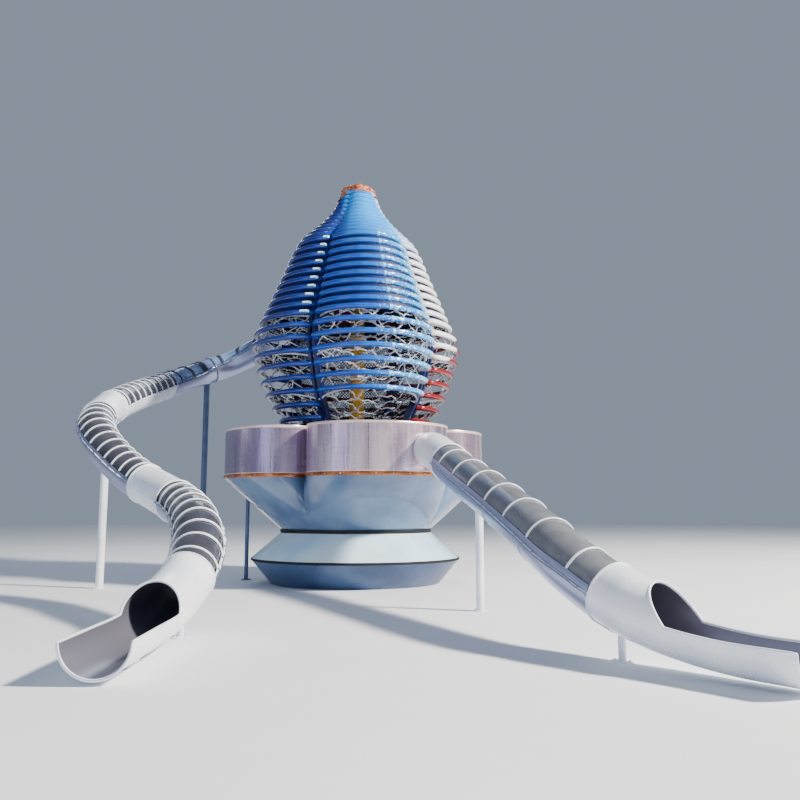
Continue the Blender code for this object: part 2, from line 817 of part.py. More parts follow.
def hooped_section(
    name, route, start, end, hoops, paints, finishes, step=SOLID_STEP, joints=(), whole_cover=False
):
    """A trough with lips, a cover of clear sheet and the hoops and rails over it."""
    trough_paint, cover_paint, hoop_paint = finishes
    half = TUBE_SIDES // 2
    stations, hoop_rows, places = hoop_stations(start, end, hoops, step, joints)
    for trough, sheet in parted(f"{name}_trough", stations, places):
        outer, inner = (
            [[route.point(s, angle, radius) for angle, radius in side] for s in sheet]
            for side in trough_profile(spread(-math.pi, 0, half))
        )
        thick_grid(trough, outer, inner, paints[trough_paint])

    seat = SADDLE_GAP / TUBE_RADIUS
    cover_angles = spread(seat, math.pi - seat, half)
    cover_radius = TUBE_RADIUS - HOOP_DEPTH
    for cover, sheet in parted(f"{name}_cover", stations, [] if whole_cover else places):
        thick_grid(
            cover,
            tube_rows(route, sheet, cover_angles, cover_radius),
            tube_rows(route, sheet, cover_angles, cover_radius - TUBE_WALL),
            paints[cover_paint],
        )

    rails = (RAIL_ANGLE, math.pi - RAIL_ANGLE)
    hoop_angles = sorted([*cover_angles, *rails])
    last = len(hoop_angles) - 2
    thick_grid(
        f"{name}_hoops",
        tube_rows(route, stations, hoop_angles, TUBE_RADIUS),
        tube_rows(route, stations, hoop_angles, cover_radius + COVER_CLEARANCE),
        paints[hoop_paint],
        keep=lambda i, j: i in hoop_rows or j in (0, last),
    )


def trough_profile(below):
    """Outer and inner points of the trough's section, as angle and radius, with its lips."""
    inner_radius = TUBE_RADIUS - TUBE_WALL
    lip_drop = LIP / TUBE_RADIUS
    start, end = below[0], below[-1]
    outer = [(start, TUBE_RADIUS + LIP), (start + lip_drop, TUBE_RADIUS)]
    inner = [(start, inner_radius), (start + lip_drop, inner_radius)]
    for angle in below[1:-1]:
        outer.append((angle, TUBE_RADIUS))
        inner.append((angle, inner_radius))
    outer += [(end - lip_drop, TUBE_RADIUS), (end, TUBE_RADIUS + LIP)]
    inner += [(end - lip_drop, inner_radius), (end, inner_radius)]
    return outer, inner


def cut(thing, cutter):
    """Subtract a hidden helper from a piece."""
    cutter.hide_render = True
    cutter.display_type = "WIRE"
    boolean = thing.modifiers.new("cut", "BOOLEAN")
    boolean.operation = "DIFFERENCE"
    boolean.solver = "EXACT"
    boolean.object = cutter


def build_left_slide(route, paints, petal):
    """The long slide, from the bud's back to the front left."""
    entry = steps_between(0.0, LEFT_ENTRY_END)
    solid_tube("left_slide_entry", route, entry, paints["steel"])
    hooped_section(
        "left_slide_windows",
        route,
        LEFT_ENTRY_END,
        LEFT_WINDOWS_END,
        LEFT_WINDOWS,
        paints,
        ("steel", "clear", "grey"),
        joints=LEFT_WINDOWS_JOINTS,
    )
    hooped_section(
        "left_slide_upper",
        route,
        LEFT_WINDOWS_END,
        LEFT_UPPER_END,
        LEFT_UPPER_HOOPS,
        paints,
        ("white", "smoke", "white"),
        joints=LEFT_UPPER_JOINTS,
        whole_cover=True,
    )
    bend = steps_between(LEFT_UPPER_END, LEFT_BEND_END)
    solid_tube("left_slide_bend", route, bend, paints["white"])
    hooped_section(
        "left_slide_middle",
        route,
        LEFT_BEND_END,
        LEFT_MIDDLE_END,
        LEFT_MIDDLE_HOOPS,
        paints,
        ("steel", "smoke", "white"),
    )
    joint = steps_between(LEFT_MIDDLE_END, LEFT_JOINT_END)
    solid_tube("left_slide_joint", route, joint, paints["white"])
    hooped_section(
        "left_slide_lower",
        route,
        LEFT_JOINT_END,
        LEFT_LOWER_END,
        LEFT_LOWER_HOOPS,
        paints,
        ("steel", "smoke", "white"),
    )
    end_tube("left_slide_end", route, LEFT_LOWER_END, LEFT_MOUTH, LEFT_RAKE, paints["white"])
    cut(petal, entry_cutter("left_entry_cutter", route, entry, paints["steel"]))


def build_right_slide(route, paints, wall):
    """The short slide, from the drum's front wall to the front right."""
    entry = steps_between(0.0, RIGHT_ENTRY_END)
    solid_tube("right_slide_entry", route, entry, paints["steel"])
    hooped_section(
        "right_slide_run",
        route,
        RIGHT_ENTRY_END,
        RIGHT_RUN_END,
        RIGHT_HOOPS,
        paints,
        ("steel", "clear", "white"),
        STRAIGHT_STEP,
        RIGHT_JOINTS,
    )
    end_tube("right_slide_end", route, RIGHT_RUN_END, RIGHT_MOUTH, RIGHT_RAKE, paints["white"])
    cut(wall, entry_cutter("right_entry_cutter", route, entry, paints["steel"]))


def left_stations(route):
    """The stations of each section of the long slide."""
    return (
        hoop_stations(
            LEFT_ENTRY_END, LEFT_WINDOWS_END, LEFT_WINDOWS, joints=LEFT_WINDOWS_JOINTS
        )[0],
        hoop_stations(
            LEFT_WINDOWS_END, LEFT_UPPER_END, LEFT_UPPER_HOOPS, joints=LEFT_UPPER_JOINTS
        )[0],
        steps_between(LEFT_UPPER_END, LEFT_BEND_END),
        *end_stations(route, LEFT_LOWER_END, LEFT_MOUTH, LEFT_RAKE),
    )


def right_stations(route):
    """The stations of each section of the short slide that a post stands under."""
    return (
        hoop_stations(
            RIGHT_ENTRY_END, RIGHT_RUN_END, RIGHT_HOOPS, STRAIGHT_STEP, RIGHT_JOINTS
        )[0],
        *end_stations(route, RIGHT_RUN_END, RIGHT_MOUTH, RIGHT_RAKE),
    )


def add_post(name, x, y, radius, top, material):
    """A round post with a flat foot plate."""
    loops = []
    for ring_radius, height in (
        (FOOT_RADIUS, 0),
        (FOOT_RADIUS, FOOT_HEIGHT),
        (radius, FOOT_HEIGHT),
        (radius, top),
    ):
        loops.append(
            [p + Vector((x, y, 0)) for p in round_loop(ring_radius, height, POST_SIDES)]
        )
    return stacked(name, loops, material)


def build_posts(paints, routes):
    """Posts and legs, each one saddled to the tube that it carries."""
    for route, sections, posts in (
        (routes[0], left_stations(routes[0]), LEFT_POSTS),
        (routes[1], right_stations(routes[1]), RIGHT_POSTS),
    ):
        for name, (x, y, radius) in posts.items():
            nearest = min(route.marks, key=lambda s: (route.at(s).xy - Vector((x, y))).length)
            finish = paints["grey"] if "tall" in name else paints["white"]
            post = add_post(name, x, y, radius, route.at(nearest).z, finish)
            stations = next(rows for rows in sections if rows[0] <= nearest <= rows[-1])
            saddle = tube_cutter(
                f"{name}_saddle", route, stations, TUBE_RADIUS + SADDLE_GAP, finish
            )
            cut(post, saddle)
    off_crest = DECK_LEG_ANGLE - FIRST_CREST + 2 * HALF_LOBE
    radius = DRUM_RADIUS * lobe_ratio(off_crest) - DECK_LEG_INSET
    place = polar(radius, DECK_LEG_ANGLE, 0)
    leg = add_post("deck_leg", place.x, place.y, LEG_RADIUS, BOWL_TOP - GAP, paints["grey"])
    steps = range(BOWL_STEPS + 1)
    cut(leg, stacked("bowl_cutter", bowl_loops(steps, LOBED_GAP / 2), paints["grey"]))


def main():
    clear_scene()
    paints = {
        "base": paint("base_paint", 0.30, 0.40, 0.55, 0.35),
        "bowl": paint("bowl_gelcoat", 0.75, 0.83, 0.90, 0.20),
        "seam": paint("seam_rubber", 0.02, 0.02, 0.03, 0.60),
        "copper": paint("copper_band", 0.43, 0.12, 0.03, 0.30, 0.8),
        "deck": paint("deck_plate", 0.35, 0.36, 0.40, 0.60, 0.2),
        "steel": paint("polished_steel", 0.62, 0.58, 0.68, 0.22, 1.0),
        "gold": paint("gold_column", 0.70, 0.36, 0.03, 0.35, 0.4),
        "rope": paint("net_rope", 0.80, 0.80, 0.82, 0.80),
        "front": paint("front_pipes", 0.02, 0.20, 0.70, 0.30),
        "left": paint("left_pipes", 0.01, 0.04, 0.35, 0.30),
        "back": paint("back_pipes", 0.55, 0.02, 0.03, 0.30),
        "right": paint("right_pipes", 0.85, 0.85, 0.88, 0.30),
        "cap": paint("cap_paint", 0.47, 0.12, 0.06, 0.35),
        "white": paint("white_plastic", 0.85, 0.87, 0.90, 0.25),
        "grey": paint("grey_post", 0.35, 0.40, 0.50, 0.40),
        "clear": paint("clear_cover", 0.35, 0.38, 0.42, 0.10, 0.0, 0.5),
        "smoke": paint("smoke_cover", 0.06, 0.06, 0.08, 0.10, 0.0, 0.6),
    }
    build_base(paints)
    walls = build_drum(paints)
    petals = build_bud(paints)
    build_crown(paints)
    for number, ring in enumerate(NET_RINGS):
        drop, passage = NET_DROPS[number], NET_PASSAGES[number]
        build_net(f"net_floor_{number + 1}", ring, drop, passage, paints)
    routes = (
        Route(LEFT_ROUTE, DECK_HEIGHT + LEFT_START_HEIGHT),
        Route(RIGHT_ROUTE, DECK_HEIGHT + RIGHT_START_HEIGHT),
    )
    build_left_slide(routes[0], paints, petals["back"])
    build_right_slide(routes[1], paints, walls[0])
    build_posts(paints, routes)


main()
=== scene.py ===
"""Looks of a playground tower shaped like a flower bud, with a long tube slide and a short one.

Metres, +Z up. The tower's axis stands on the origin and -Y is the front. Angles round the
tower are measured from the front, positive toward +X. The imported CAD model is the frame.
"""

import logging
import math
from collections.abc import Callable, Iterable, Sequence
from dataclasses import dataclass, field
from enum import Enum

import bpy
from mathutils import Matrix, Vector


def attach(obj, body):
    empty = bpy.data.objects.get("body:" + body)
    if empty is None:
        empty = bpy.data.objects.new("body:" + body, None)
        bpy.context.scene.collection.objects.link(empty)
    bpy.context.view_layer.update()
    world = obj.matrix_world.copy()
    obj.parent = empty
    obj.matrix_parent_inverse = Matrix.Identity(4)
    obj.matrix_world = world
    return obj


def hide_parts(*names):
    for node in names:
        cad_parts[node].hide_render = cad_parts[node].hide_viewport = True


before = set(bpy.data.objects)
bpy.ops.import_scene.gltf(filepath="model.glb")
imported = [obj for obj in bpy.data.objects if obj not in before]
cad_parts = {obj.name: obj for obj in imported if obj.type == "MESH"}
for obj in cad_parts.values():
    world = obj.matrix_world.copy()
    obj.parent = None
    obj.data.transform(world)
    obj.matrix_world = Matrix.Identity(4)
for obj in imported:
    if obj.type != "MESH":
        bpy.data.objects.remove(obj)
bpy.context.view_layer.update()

log = logging.getLogger("tower")

BODY = "root"
UP = Vector((0, 0, 1))
SIDES = ("front", "right", "back", "left")
Thing = bpy.types.Object
Socket = bpy.types.NodeSocket
Point = tuple[float, float, float]
Profile = Sequence[tuple[float, float]]
Lines = list[list[Vector]]

# Lobed outline of the drum and the bud: where a lobe's arc is centred, its radius and the
# radius where two lobes meet, all for a crest radius of one
LOBES = 4
FIRST_CREST = math.radians(14)
HALF_LOBE = math.pi / LOBES
LOBE_CENTRE = 0.38
LOBE_ARC = 0.62
VALLEY = 0.60
CROWN_VALLEY = 0.72
LINING_VALLEY = 0.74
ROUND_SIDES = 192

# Radii and heights of the base and the drum
WAIST_RADIUS = 1.76
WAIST_HEIGHT = 1.208
SEAM_HEIGHT = 0.018
BOWL_BOTTOM = 1.2263
BOWL_TOP = 2.416
DECK_HEIGHT = 2.496
DRUM_RADIUS = 3.15
WALL_TOP = 3.556

# Both slides: the tube's radius, those of its bore and of the covers, and a trough lip's width
TUBE = 0.37
BORE = TUBE - 0.012
UNDER_COVER = TUBE - 0.024
LIP = 0.035
# Thickness of the troughs, the moulded shells, the bores and the covers
SHEET = 0.012
SHELL = 0.008
LINING = 0.004
COVER = 0.006
# Half the thickness of a collar and of a rolled rim
COLLAR = 0.016
RIM = 0.017
# About how long each step of a drawn-out piece is, and of one with large curves
PITCH = 0.09
WIDE_PITCH = 0.10


def linear(code: str) -> tuple[float, float, float, float]:
    """Turn an sRGB hex value to a linear colour.

    Args:
        code: six hex digits, with or without a leading hash.

    Returns:
        Red, green, blue and an alpha of one.
    """
    digits = code.lstrip("#")
    channels = [int(digits[k : k + 2], 16) / 255 for k in (0, 2, 4)]
    red, green, blue = (c / 12.92 if c < 0.04045 else ((c + 0.055) / 1.055) ** 2.4 for c in channels)
    return red, green, blue, 1.0


def add_node(
    tree: bpy.types.NodeTree, kind: str, settings: dict | None = None, sockets: dict | None = None
) -> bpy.types.Node:
    """Add one shader node.

    Args:
        tree: the material's node tree.
        kind: the node's type name, without its ShaderNode prefix.
        settings: attributes of the node.
        sockets: for each input, by name or number, an output to link or a value to set.

    Returns:
        The new node.
    """
    node = tree.nodes.new("ShaderNode" + kind)
    for key, value in (settings or {}).items():
        setattr(node, key, value)
    for key, value in (sockets or {}).items():
        if isinstance(value, Socket):
            tree.links.new(value, node.inputs[key])
        else:
            node.inputs[key].default_value = value
    return node


class Coordinates(Enum):
    """What a finish's pattern follows."""

    OBJECT = "Object"
    UNROLLED = "UV"


@dataclass(frozen=True)
class Pattern:
    """Short ways to add a pattern's nodes to one material.

    The place is the output that gives each point's place.
    """

    tree: bpy.types.NodeTree
    place: Socket

    def spaced(self, scale: Point) -> Socket:
        """The place with each axis scaled."""
        return add_node(self.tree, "Mapping", None, {"Vector": self.place, "Scale": scale}).outputs[0]

    def noise(self, scale: float, detail: float, place: Socket | None = None) -> Socket:
        """Noise from 0 to 1, over the pattern's own place or another one."""
        sockets = {"Vector": place or self.place, "Scale": scale, "Detail": detail}
        return add_node(self.tree, "TexNoise", None, sockets).outputs[0]

    def axes(self) -> Sequence[Socket]:
        """The place's X, Y and Z."""
        return add_node(self.tree, "SeparateXYZ", None, {0: self.place}).outputs

    def maths(self, operation: str, *values: Socket | float) -> Socket:
        """The result of one operation on outputs and numbers."""
        return add_node(self.tree, "Math", {"operation": operation}, dict(enumerate(values))).outputs[0]

    def over_range(self, value: Socket, low: float, high: float, most: float = 1.0) -> Socket:
        """How far a value has gone from low to high, from 0 to the most."""
        sockets = {"Value": value, "From Min": low, "From Max": high, "To Max": most}
        return add_node(self.tree, "MapRange", None, sockets).outputs[0]

    def blend(self, share: Socket, first: Socket | str, second: Socket | str) -> Socket:
        """A colour that goes over to another one, each given as an output or in hex."""
        under, over = (linear(colour) if isinstance(colour, str) else colour for colour in (first, second))
        return add_node(self.tree, "Mix", {"data_type": "RGBA"}, {0: share, 6: under, 7: over}).outputs[2]


@dataclass(frozen=True)
class Finish:
    """A real finish: a colour that drifts between two tones, a grain and a varying gloss.

    Sizes are in metres. The grain's stretch is how much longer it is along each axis.
    """

    name: str
    colour: str
    tone: str
    roughness: tuple[float, float]
    metallic: float = 0.0
    drift: float = 0.6
    grain: float = 0.02
    stretch: Point = (1.0, 1.0, 1.0)
    relief: float = 0.001
    coat: float = 0.0
    ior: float = 1.5
    alpha: float = 1.0
    follows: Coordinates = Coordinates.OBJECT

    def material(self) -> bpy.types.Material:
        """The finish's material, made once and then shared."""
        made = bpy.data.materials.get(self.name)
        if made:
            return made
        made = bpy.data.materials.new(self.name)
        made.use_nodes = True
        tree = made.node_tree
        shader = tree.nodes["Principled BSDF"]
        shader.inputs["Metallic"].default_value = self.metallic
        shader.inputs["IOR"].default_value = self.ior
        shader.inputs["Coat Weight"].default_value = self.coat
        shader.inputs["Coat Roughness"].default_value = 0.08
        shader.inputs["Alpha"].default_value = self.alpha
        self.dress(shader, Pattern(tree, add_node(tree, "TexCoord").outputs[self.follows.value]))
        return made

    def dress(self, shader: bpy.types.Node, pattern: Pattern) -> None:
        """Link the pattern to the shader.

        Args:
            shader: the material's Principled shader.
            pattern: its pattern.
        """
        tree = pattern.tree
        tree.links.new(self.colouring(pattern), shader.inputs["Base Color"])
        grain = self.grained(pattern)
        low, high = self.roughness
        sockets = {"Value": grain, "From Min": 0.3, "From Max": 0.7, "To Min": low, "To Max": high}
        tree.links.new(add_node(tree, "MapRange", None, sockets).outputs[0], shader.inputs["Roughness"])
        bump = add_node(tree, "Bump", None, {"Distance": self.relief, "Height": grain, "Strength": 1.0})
        tree.links.new(bump.outputs[0], shader.inputs["Normal"])

    def grained(self, pattern: Pattern) -> Socket:
        """Noise at the grain's size, drawn out along the grain.

        Args:
            pattern: the material's pattern.

        Returns:
            The noise's output, from 0 to 1.
        """
        scale = tuple(1 / (self.grain * length) for length in self.stretch)
        return pattern.noise(1.0, 3.0, pattern.spaced(scale))

    def colouring(self, pattern: Pattern) -> Socket:
        """The colour, drifting from one tone to the other over the surface.

        Args:
            pattern: the material's pattern.

        Returns:
            The colour's output.
        """
        cloud = pattern.noise(1 / self.drift, 4.0)
        return pattern.blend(pattern.over_range(cloud, 0.35, 0.65), self.colour, self.tone)


@dataclass(frozen=True)
class BudPaint(Finish):
    """Gloss paint that changes colour round the bud and turns red low on its right side; its navy on the left
    is partly painted shade, and its pale flecks right of the front crest are painted highlights.
    """

    stops: tuple[tuple[float, str], ...] = ()
    low_red: str = "7C080C"
    # Colour of the painted highlight flecks.
    flecks: str = "D8F6FF"
    crown_front: str = "009CF0"

    def colouring(self, pattern: Pattern) -> Socket:
        """The colour by the direction from the tower's axis, with painted highlight flecks, a bright crown
        and low red.
        """
        tree = pattern.tree
        maths, over_range = pattern.maths, pattern.over_range
        x, y, z = pattern.axes()
        sockets = {"Vector": pattern.place, "Rotation": (0.0, 0.0, -math.pi / 2)}
        turned = add_node(tree, "Mapping", None, sockets).outputs[0]
        angle = add_node(tree, "TexGradient", {"gradient_type": "RADIAL"}, {"Vector": turned}).outputs[1]
        dapple = maths("MULTIPLY_ADD", pattern.noise(7.0, 3.0), 0.07, -0.035)
        ramp = add_node(tree, "ValToRGB", None, {"Fac": maths("FRACT", maths("ADD", angle, dapple))})
        band = ramp.color_ramp.elements
        for number, (turn, code) in enumerate(self.stops):
            stop = band[number] if number < 2 else band.new(turn)
            stop.position = turn
            stop.color = linear(code)

        # Pale flecks right of the front crest, on the side the light comes from, are painted highlights: the
        # sun's glints on the glossy pipes.
        right_of_crest = maths("MULTIPLY", over_range(x, 0.35, 1.0), over_range(y, 0.1, -0.3))
        glint_share = maths("MULTIPLY", over_range(pattern.noise(17.0, 2.0), 0.565, 0.62), right_of_crest)
        colour = pattern.blend(glint_share, ramp.outputs[0], self.flecks)

        high_in_front = maths("MULTIPLY", over_range(z, 7.7, 8.9), over_range(y, 0.0, -0.2))
        bright = maths("MULTIPLY", high_in_front, over_range(x, -0.45, -0.2))
        colour = pattern.blend(bright, colour, self.crown_front)

        wave = maths("MULTIPLY_ADD", pattern.noise(1.6, 3.0), 1.0, -0.5)
        leaning = maths("MULTIPLY_ADD", over_range(angle, 0.16, 0.33), 0.8, wave)
        edge = maths("ADD", over_range(z, 6.6, 4.4), leaning)
        on_right = maths("MULTIPLY", over_range(angle, 0.145, 0.165), over_range(x, 0.7, 1.0))
        reddened = maths("MULTIPLY", over_range(edge, 0.74, 0.82), on_right)
        return pattern.blend(reddened, colour, self.low_red)


@dataclass(frozen=True)
class RippledSheet(Finish):
    """Polished sheet with upright streaks and short level wrinkles; the streaks are painted reflections, and
    the darker tone toward its left is painted shade.
    """

    shaded: str = "7C7296"

    def colouring(self, pattern: Pattern) -> Socket:
        """Streaks of the darker tone that run up the sheet, as painted reflections, and the darker tone on
        its left as painted shade.
        """
        painted_reflection_streak = pattern.noise(1.0, 5.0, pattern.spaced((4.0, 4.0, 0.45)))
        sheet = pattern.blend(pattern.over_range(painted_reflection_streak, 0.40, 0.62), self.colour, self.tone)
        # Painted shade: the sheet goes over to the darker tone toward -X, on its left, along a ragged edge.
        wander = pattern.maths("MULTIPLY_ADD", painted_reflection_streak, 1.6, pattern.axes()[0])
        return pattern.blend(pattern.over_range(wander, 0.9, -1.4, 0.8), sheet, self.shaded)

    def grained(self, pattern: Pattern) -> Socket:
        """Upright streaks with a little level wrinkling in patches."""
        wrinkle = pattern.noise(1.0, 2.0, pattern.spaced((1.6, 1.6, 16.0)))
        return pattern.maths("MULTIPLY_ADD", wrinkle, 0.45, super().grained(pattern))


@dataclass(frozen=True)
class BraidedRope(Finish):
    """Rope whose strands cross in a fine pattern of two tones."""

    def colouring(self, pattern: Pattern) -> Socket:
        """Flecks of both tones at the size of a strand, drawn coarse enough to show."""
        sockets = {"Vector": pattern.place, "Scale": 1 / self.drift}
        cells = add_node(pattern.tree, "TexVoronoi", None, sockets).outputs["Distance"]
        return pattern.blend(pattern.over_range(cells, 0.25, 0.45), self.colour, self.tone)


# Polyester gelcoat on glass fibre: very smooth, a soft long wave in its reflections.
GELCOAT = Finish(
    "glossy_gelcoat", "E2FAFF", "B8DCF6", (0.10, 0.20), drift=1.1, grain=0.35, relief=0.004, coat=0.6
)
# The skirt's gelcoat, painted a shade deeper on the bowl as painted shade, where the bowl faces down and away
# from the light.
SHADED_BOWL_GELCOAT = Finish(
    "bowl_gelcoat_painted_shade", "66809F", "455D84", (0.10, 0.20), drift=0.9, grain=0.35, relief=0.004, coat=0.6
)
# Polyester powder paint on the steel foot of the base: blue-grey and duller than the gelcoat, its darkness
# partly painted shade from the skirt's rim above.
BASE_PAINT = Finish(
    "blue_grey_powder_paint", "4C668E", "304A70", (0.26, 0.40), drift=0.8, grain=0.03, relief=0.0006
)
# EPDM rubber gasket between the shells.
SEAM_RUBBER = Finish(
    "black_rubber_gasket", "08080A", "101114", (0.7, 0.9), drift=0.2, grain=0.01, relief=0.0005
)
# Steel edge strip in metallic copper-coloured paint, a little worn to brown.
COPPER_PAINT = Finish(
    "copper_metallic_paint", "C47A45", "8C4A26", (0.22, 0.42), 0.75, drift=0.28, grain=0.05, relief=0.001
)
# Zinc-plated bolt heads.
BOLT_ZINC = Finish(
    "zinc_plated_bolts", "D6D8DC", "9A9CA3", (0.25, 0.4), 0.9, drift=0.02, grain=0.01, relief=0.0004
)
# Mirror-polished stainless sheet; its lilac colour is a painted reflection of sky and ground.
WALL_STEEL = RippledSheet(
    "polished_stainless_sheet", "F2DEE6", "B49EB2", (0.16, 0.30), 0.85, drift=0.55, grain=0.07,
    stretch=(1.0, 1.0, 14.0), relief=0.008
)
# The wall's folded hem, its warm tint painted warm light from the deck.
HEM_STEEL = Finish(
    "folded_stainless_hem", "F0DCD6", "D9BFC0", (0.25, 0.38), 0.5, drift=0.3, grain=0.02, relief=0.0008
)
# Stainless chute sheet, brushed along the slide; its lavender-blue tint is a painted reflection of the sky.
CHUTE_STEEL = Finish(
    "brushed_stainless_chute", "AEB6D2", "8C95B8", (0.24, 0.42), 0.8, drift=0.5, grain=0.012,
    stretch=(30.0, 1.0, 1.0), relief=0.0008, follows=Coordinates.UNROLLED
)
# Bore of the chutes, painted darker as painted shade for lying in shade, and polished by riders.
BORE_STEEL = Finish(
    "worn_stainless_bore", "9A9AA8", "6C6B7C", (0.26, 0.42), 0.55, drift=0.4, grain=0.012,
    stretch=(30.0, 1.0, 1.0), relief=0.0008, follows=Coordinates.UNROLLED
)
# Rotationally moulded polyethylene: soft gloss with a fine orange peel, drawn coarser to show.
WHITE_PLASTIC = Finish(
    "white_moulded_polyethylene", "F6FAFF", "E2EAF6", (0.22, 0.34), drift=0.5, grain=0.03, relief=0.0007,
    coat=0.3
)
# Bent polycarbonate sheet, smoked.
SMOKE_SHEET = Finish(
    "smoked_polycarbonate", "4B4C58", "3A3B45", (0.10, 0.22), drift=0.35, grain=0.05, relief=0.0008,
    alpha=0.86, ior=1.58
)
# Bent polycarbonate sheet, light grey.
CLEAR_SHEET = Finish(
    "grey_polycarbonate", "8C8F96", "74777E", (0.08, 0.2), drift=0.35, grain=0.06, relief=0.0008,
    alpha=0.62, ior=1.58
)
# Bent polycarbonate windows with a blue tint.
WINDOW_SHEET = Finish(
    "blue_tinted_polycarbonate", "9DB9E0", "6F92C8", (0.06, 0.18), drift=0.3, grain=0.08, relief=0.001,
    alpha=0.6, ior=1.58
)
# Anodised window frames.
FRAME_DARK = Finish(
    "dark_window_frames", "3C4458", "2A3042", (0.35, 0.5), 0.3, drift=0.2, grain=0.02, relief=0.0004
)
# Powder-painted posts, white and blue-grey.
POST_WHITE = Finish(
    "white_powder_paint", "F4F7FC", "DDE3EE", (0.26, 0.38), drift=0.4, grain=0.02, relief=0.0005
)
POST_GREY = Finish(
    "blue_grey_post_paint", "5E7396", "4A5E80", (0.30, 0.44), drift=0.4, grain=0.02, relief=0.0005
)
# Gold-coloured gloss paint on the column.
COLUMN_GOLD = Finish(
    "gold_gloss_paint", "E0A92E", "C58A1C", (0.22, 0.36), 0.35, drift=0.3, grain=0.05, relief=0.0008
)
# Copper-coloured paint on the cap, streaked by weather.
CAP_COPPER = Finish(
    "weathered_copper_paint", "DE9068", "7C3428", (0.28, 0.46), 0.4, drift=0.10, grain=0.04, relief=0.002
)
# Steel deck with a rough anti-slip coat.
DECK_COAT = Finish(
    "anti_slip_deck_coat", "7A7F8C", "62666F", (0.6, 0.8), drift=0.4, grain=0.008, relief=0.001
)
# Polyester rope braided over steel strands, white with dark flecks.
ROPE = BraidedRope(
    "braided_polyester_rope", "FFFFFF", "B9BFCC", (0.6, 0.8), drift=0.035, grain=0.01, relief=0.001
)
# The same rope in black, between the white ones; its black meshes also stand in as painted shade for the dark
# inside of the bud.
DARK_ROPE = BraidedRope(
    "black_polyester_rope", "04050A", "0A0D18", (0.85, 0.95), drift=0.035, grain=0.01, relief=0.001, ior=1.2
)
# Pale marks where the left petal's pipes turn in toward the front: painted highlights of the sun's glints on
# the pipe bends, drawn as thin sleeves.
END_HIGHLIGHT_PAINT = Finish(
    "painted_highlights_on_pipe_ends", "E8FBFF", "A4E6FA", (0.15, 0.25), drift=0.12, grain=0.03, relief=0.0006
)
# Light blue sleeves that join the halves of the front pipes.
SLEEVE_PAINT = Finish(
    "pale_blue_sleeve_paint", "7CC4F4", "4FA6EC", (0.2, 0.3), drift=0.2, grain=0.03, relief=0.0006
)
# Navy paint on the ribs in the valleys, duller than on the pipes, and dark as painted shade in the valleys.
RIB_PAINT = Finish(
    "navy_rib_paint", "0B1E6E", "07123F", (0.25, 0.4), drift=0.3, grain=0.04, relief=0.0006, coat=0.2
)
# Dark sheet behind the pipes of the upper tier; its near-black blue is painted shade of the bud's closed
# inside.
LINING_SHEET = Finish(
    "dark_lining_sheet", "071034", "0A1C5C", (0.4, 0.6), drift=0.4, grain=0.05, relief=0.0008
)
# Matt paint of the studio's floor.
FLOOR_PAINT = Finish(
    "pale_studio_floor", "E9ECF0", "E3E6EB", (0.7, 0.8), drift=6.0, grain=0.5, relief=0.0005
)
# Thermoplastic gloss paint on the bent pipes: navy, azure, white and red as the angle turns. The left petal's
# navy is partly painted shade, and the front petal's turn to cyan on its right is partly a painted sheen.
BUD_PAINT = BudPaint(
    "bud_pipe_gloss_paint", "1E56C8", "1E56C8", (0.12, 0.24), drift=0.4, grain=0.04, relief=0.0006, coat=0.5,
    stops=(
        (0.000, "0056BC"), (0.045, "006AC8"), (0.095, "008CDA"), (0.132, "2CAEEC"), (0.160, "FBF6F4"),
        (0.330, "FBF6F4"), (0.360, "A80C12"), (0.640, "A80C12"), (0.660, "011E6E"), (0.860, "022882"),
        (0.912, "003EA4"), (0.930, "004AB0"),
    ),
)


def lobe_ratio(angle: float, valley: float = VALLEY) -> float:
    """Radius of the lobed outline, for a crest radius of one.

    Args:
        angle: direction from the front, in radians.
        valley: radius where two lobes meet.

    Returns:
        The radius as a share of the crest's.
    """
    off = (angle - FIRST_CREST + HALF_LOBE) % (2 * HALF_LOBE) - HALF_LOBE
    across = LOBE_CENTRE * math.sin(off)
    arc = LOBE_CENTRE * math.cos(off) + math.sqrt(LOBE_ARC**2 - across**2)
    fall = math.sqrt(max(0.0, 1 - (abs(off) / HALF_LOBE) ** 6))
    return valley + (arc - valley) * fall


def polar(radius: float, angle: float, height: float) -> Vector:
    """The point at an angle from the front, round the tower's axis."""
    return Vector((radius * math.sin(angle), -radius * math.cos(angle), height))


def angle_of(point: Vector) -> float:
    """Direction of a point from the front, in radians."""
    return math.atan2(point.x, -point.y)


def past_crest(angle: float) -> float:
    """How far a direction lies past the front crest, from minus to plus half a turn."""
    return (angle - FIRST_CREST + math.pi) % (2 * math.pi) - math.pi


def deselect() -> None:
    """Leave edit mode with nothing selected."""
    if bpy.context.object and bpy.context.object.mode != "OBJECT":
        bpy.ops.object.mode_set(mode="OBJECT")
    bpy.ops.object.select_all(action="DESELECT")


def only(thing: Thing) -> None:
    """Make one object the only selected and the active one."""
    deselect()
    thing.select_set(True)
    bpy.context.view_layer.objects.active = thing


def settle() -> None:
    """Put the selected objects' place, turn and scale in their meshes."""
    bpy.ops.object.transform_apply(location=True, rotation=True, scale=True)


def edit(thing: Thing, chosen: Callable[[Vector], bool] | None = None) -> None:
    """Enter edit mode with the chosen vertices selected, or all of them.

    Args:
        thing: the mesh object.
        chosen: tells from a vertex's place whether it is selected.
    """
    only(thing)
    bpy.ops.object.mode_set(mode="EDIT")
    bpy.ops.mesh.select_mode(type="VERT")
    bpy.ops.mesh.select_all(action="SELECT" if chosen is None else "DESELECT")
    if chosen is not None:
        bpy.ops.object.mode_set(mode="OBJECT")
        for vertex in thing.data.vertices:
            vertex.select = chosen(vertex.co)
        bpy.ops.object.mode_set(mode="EDIT")


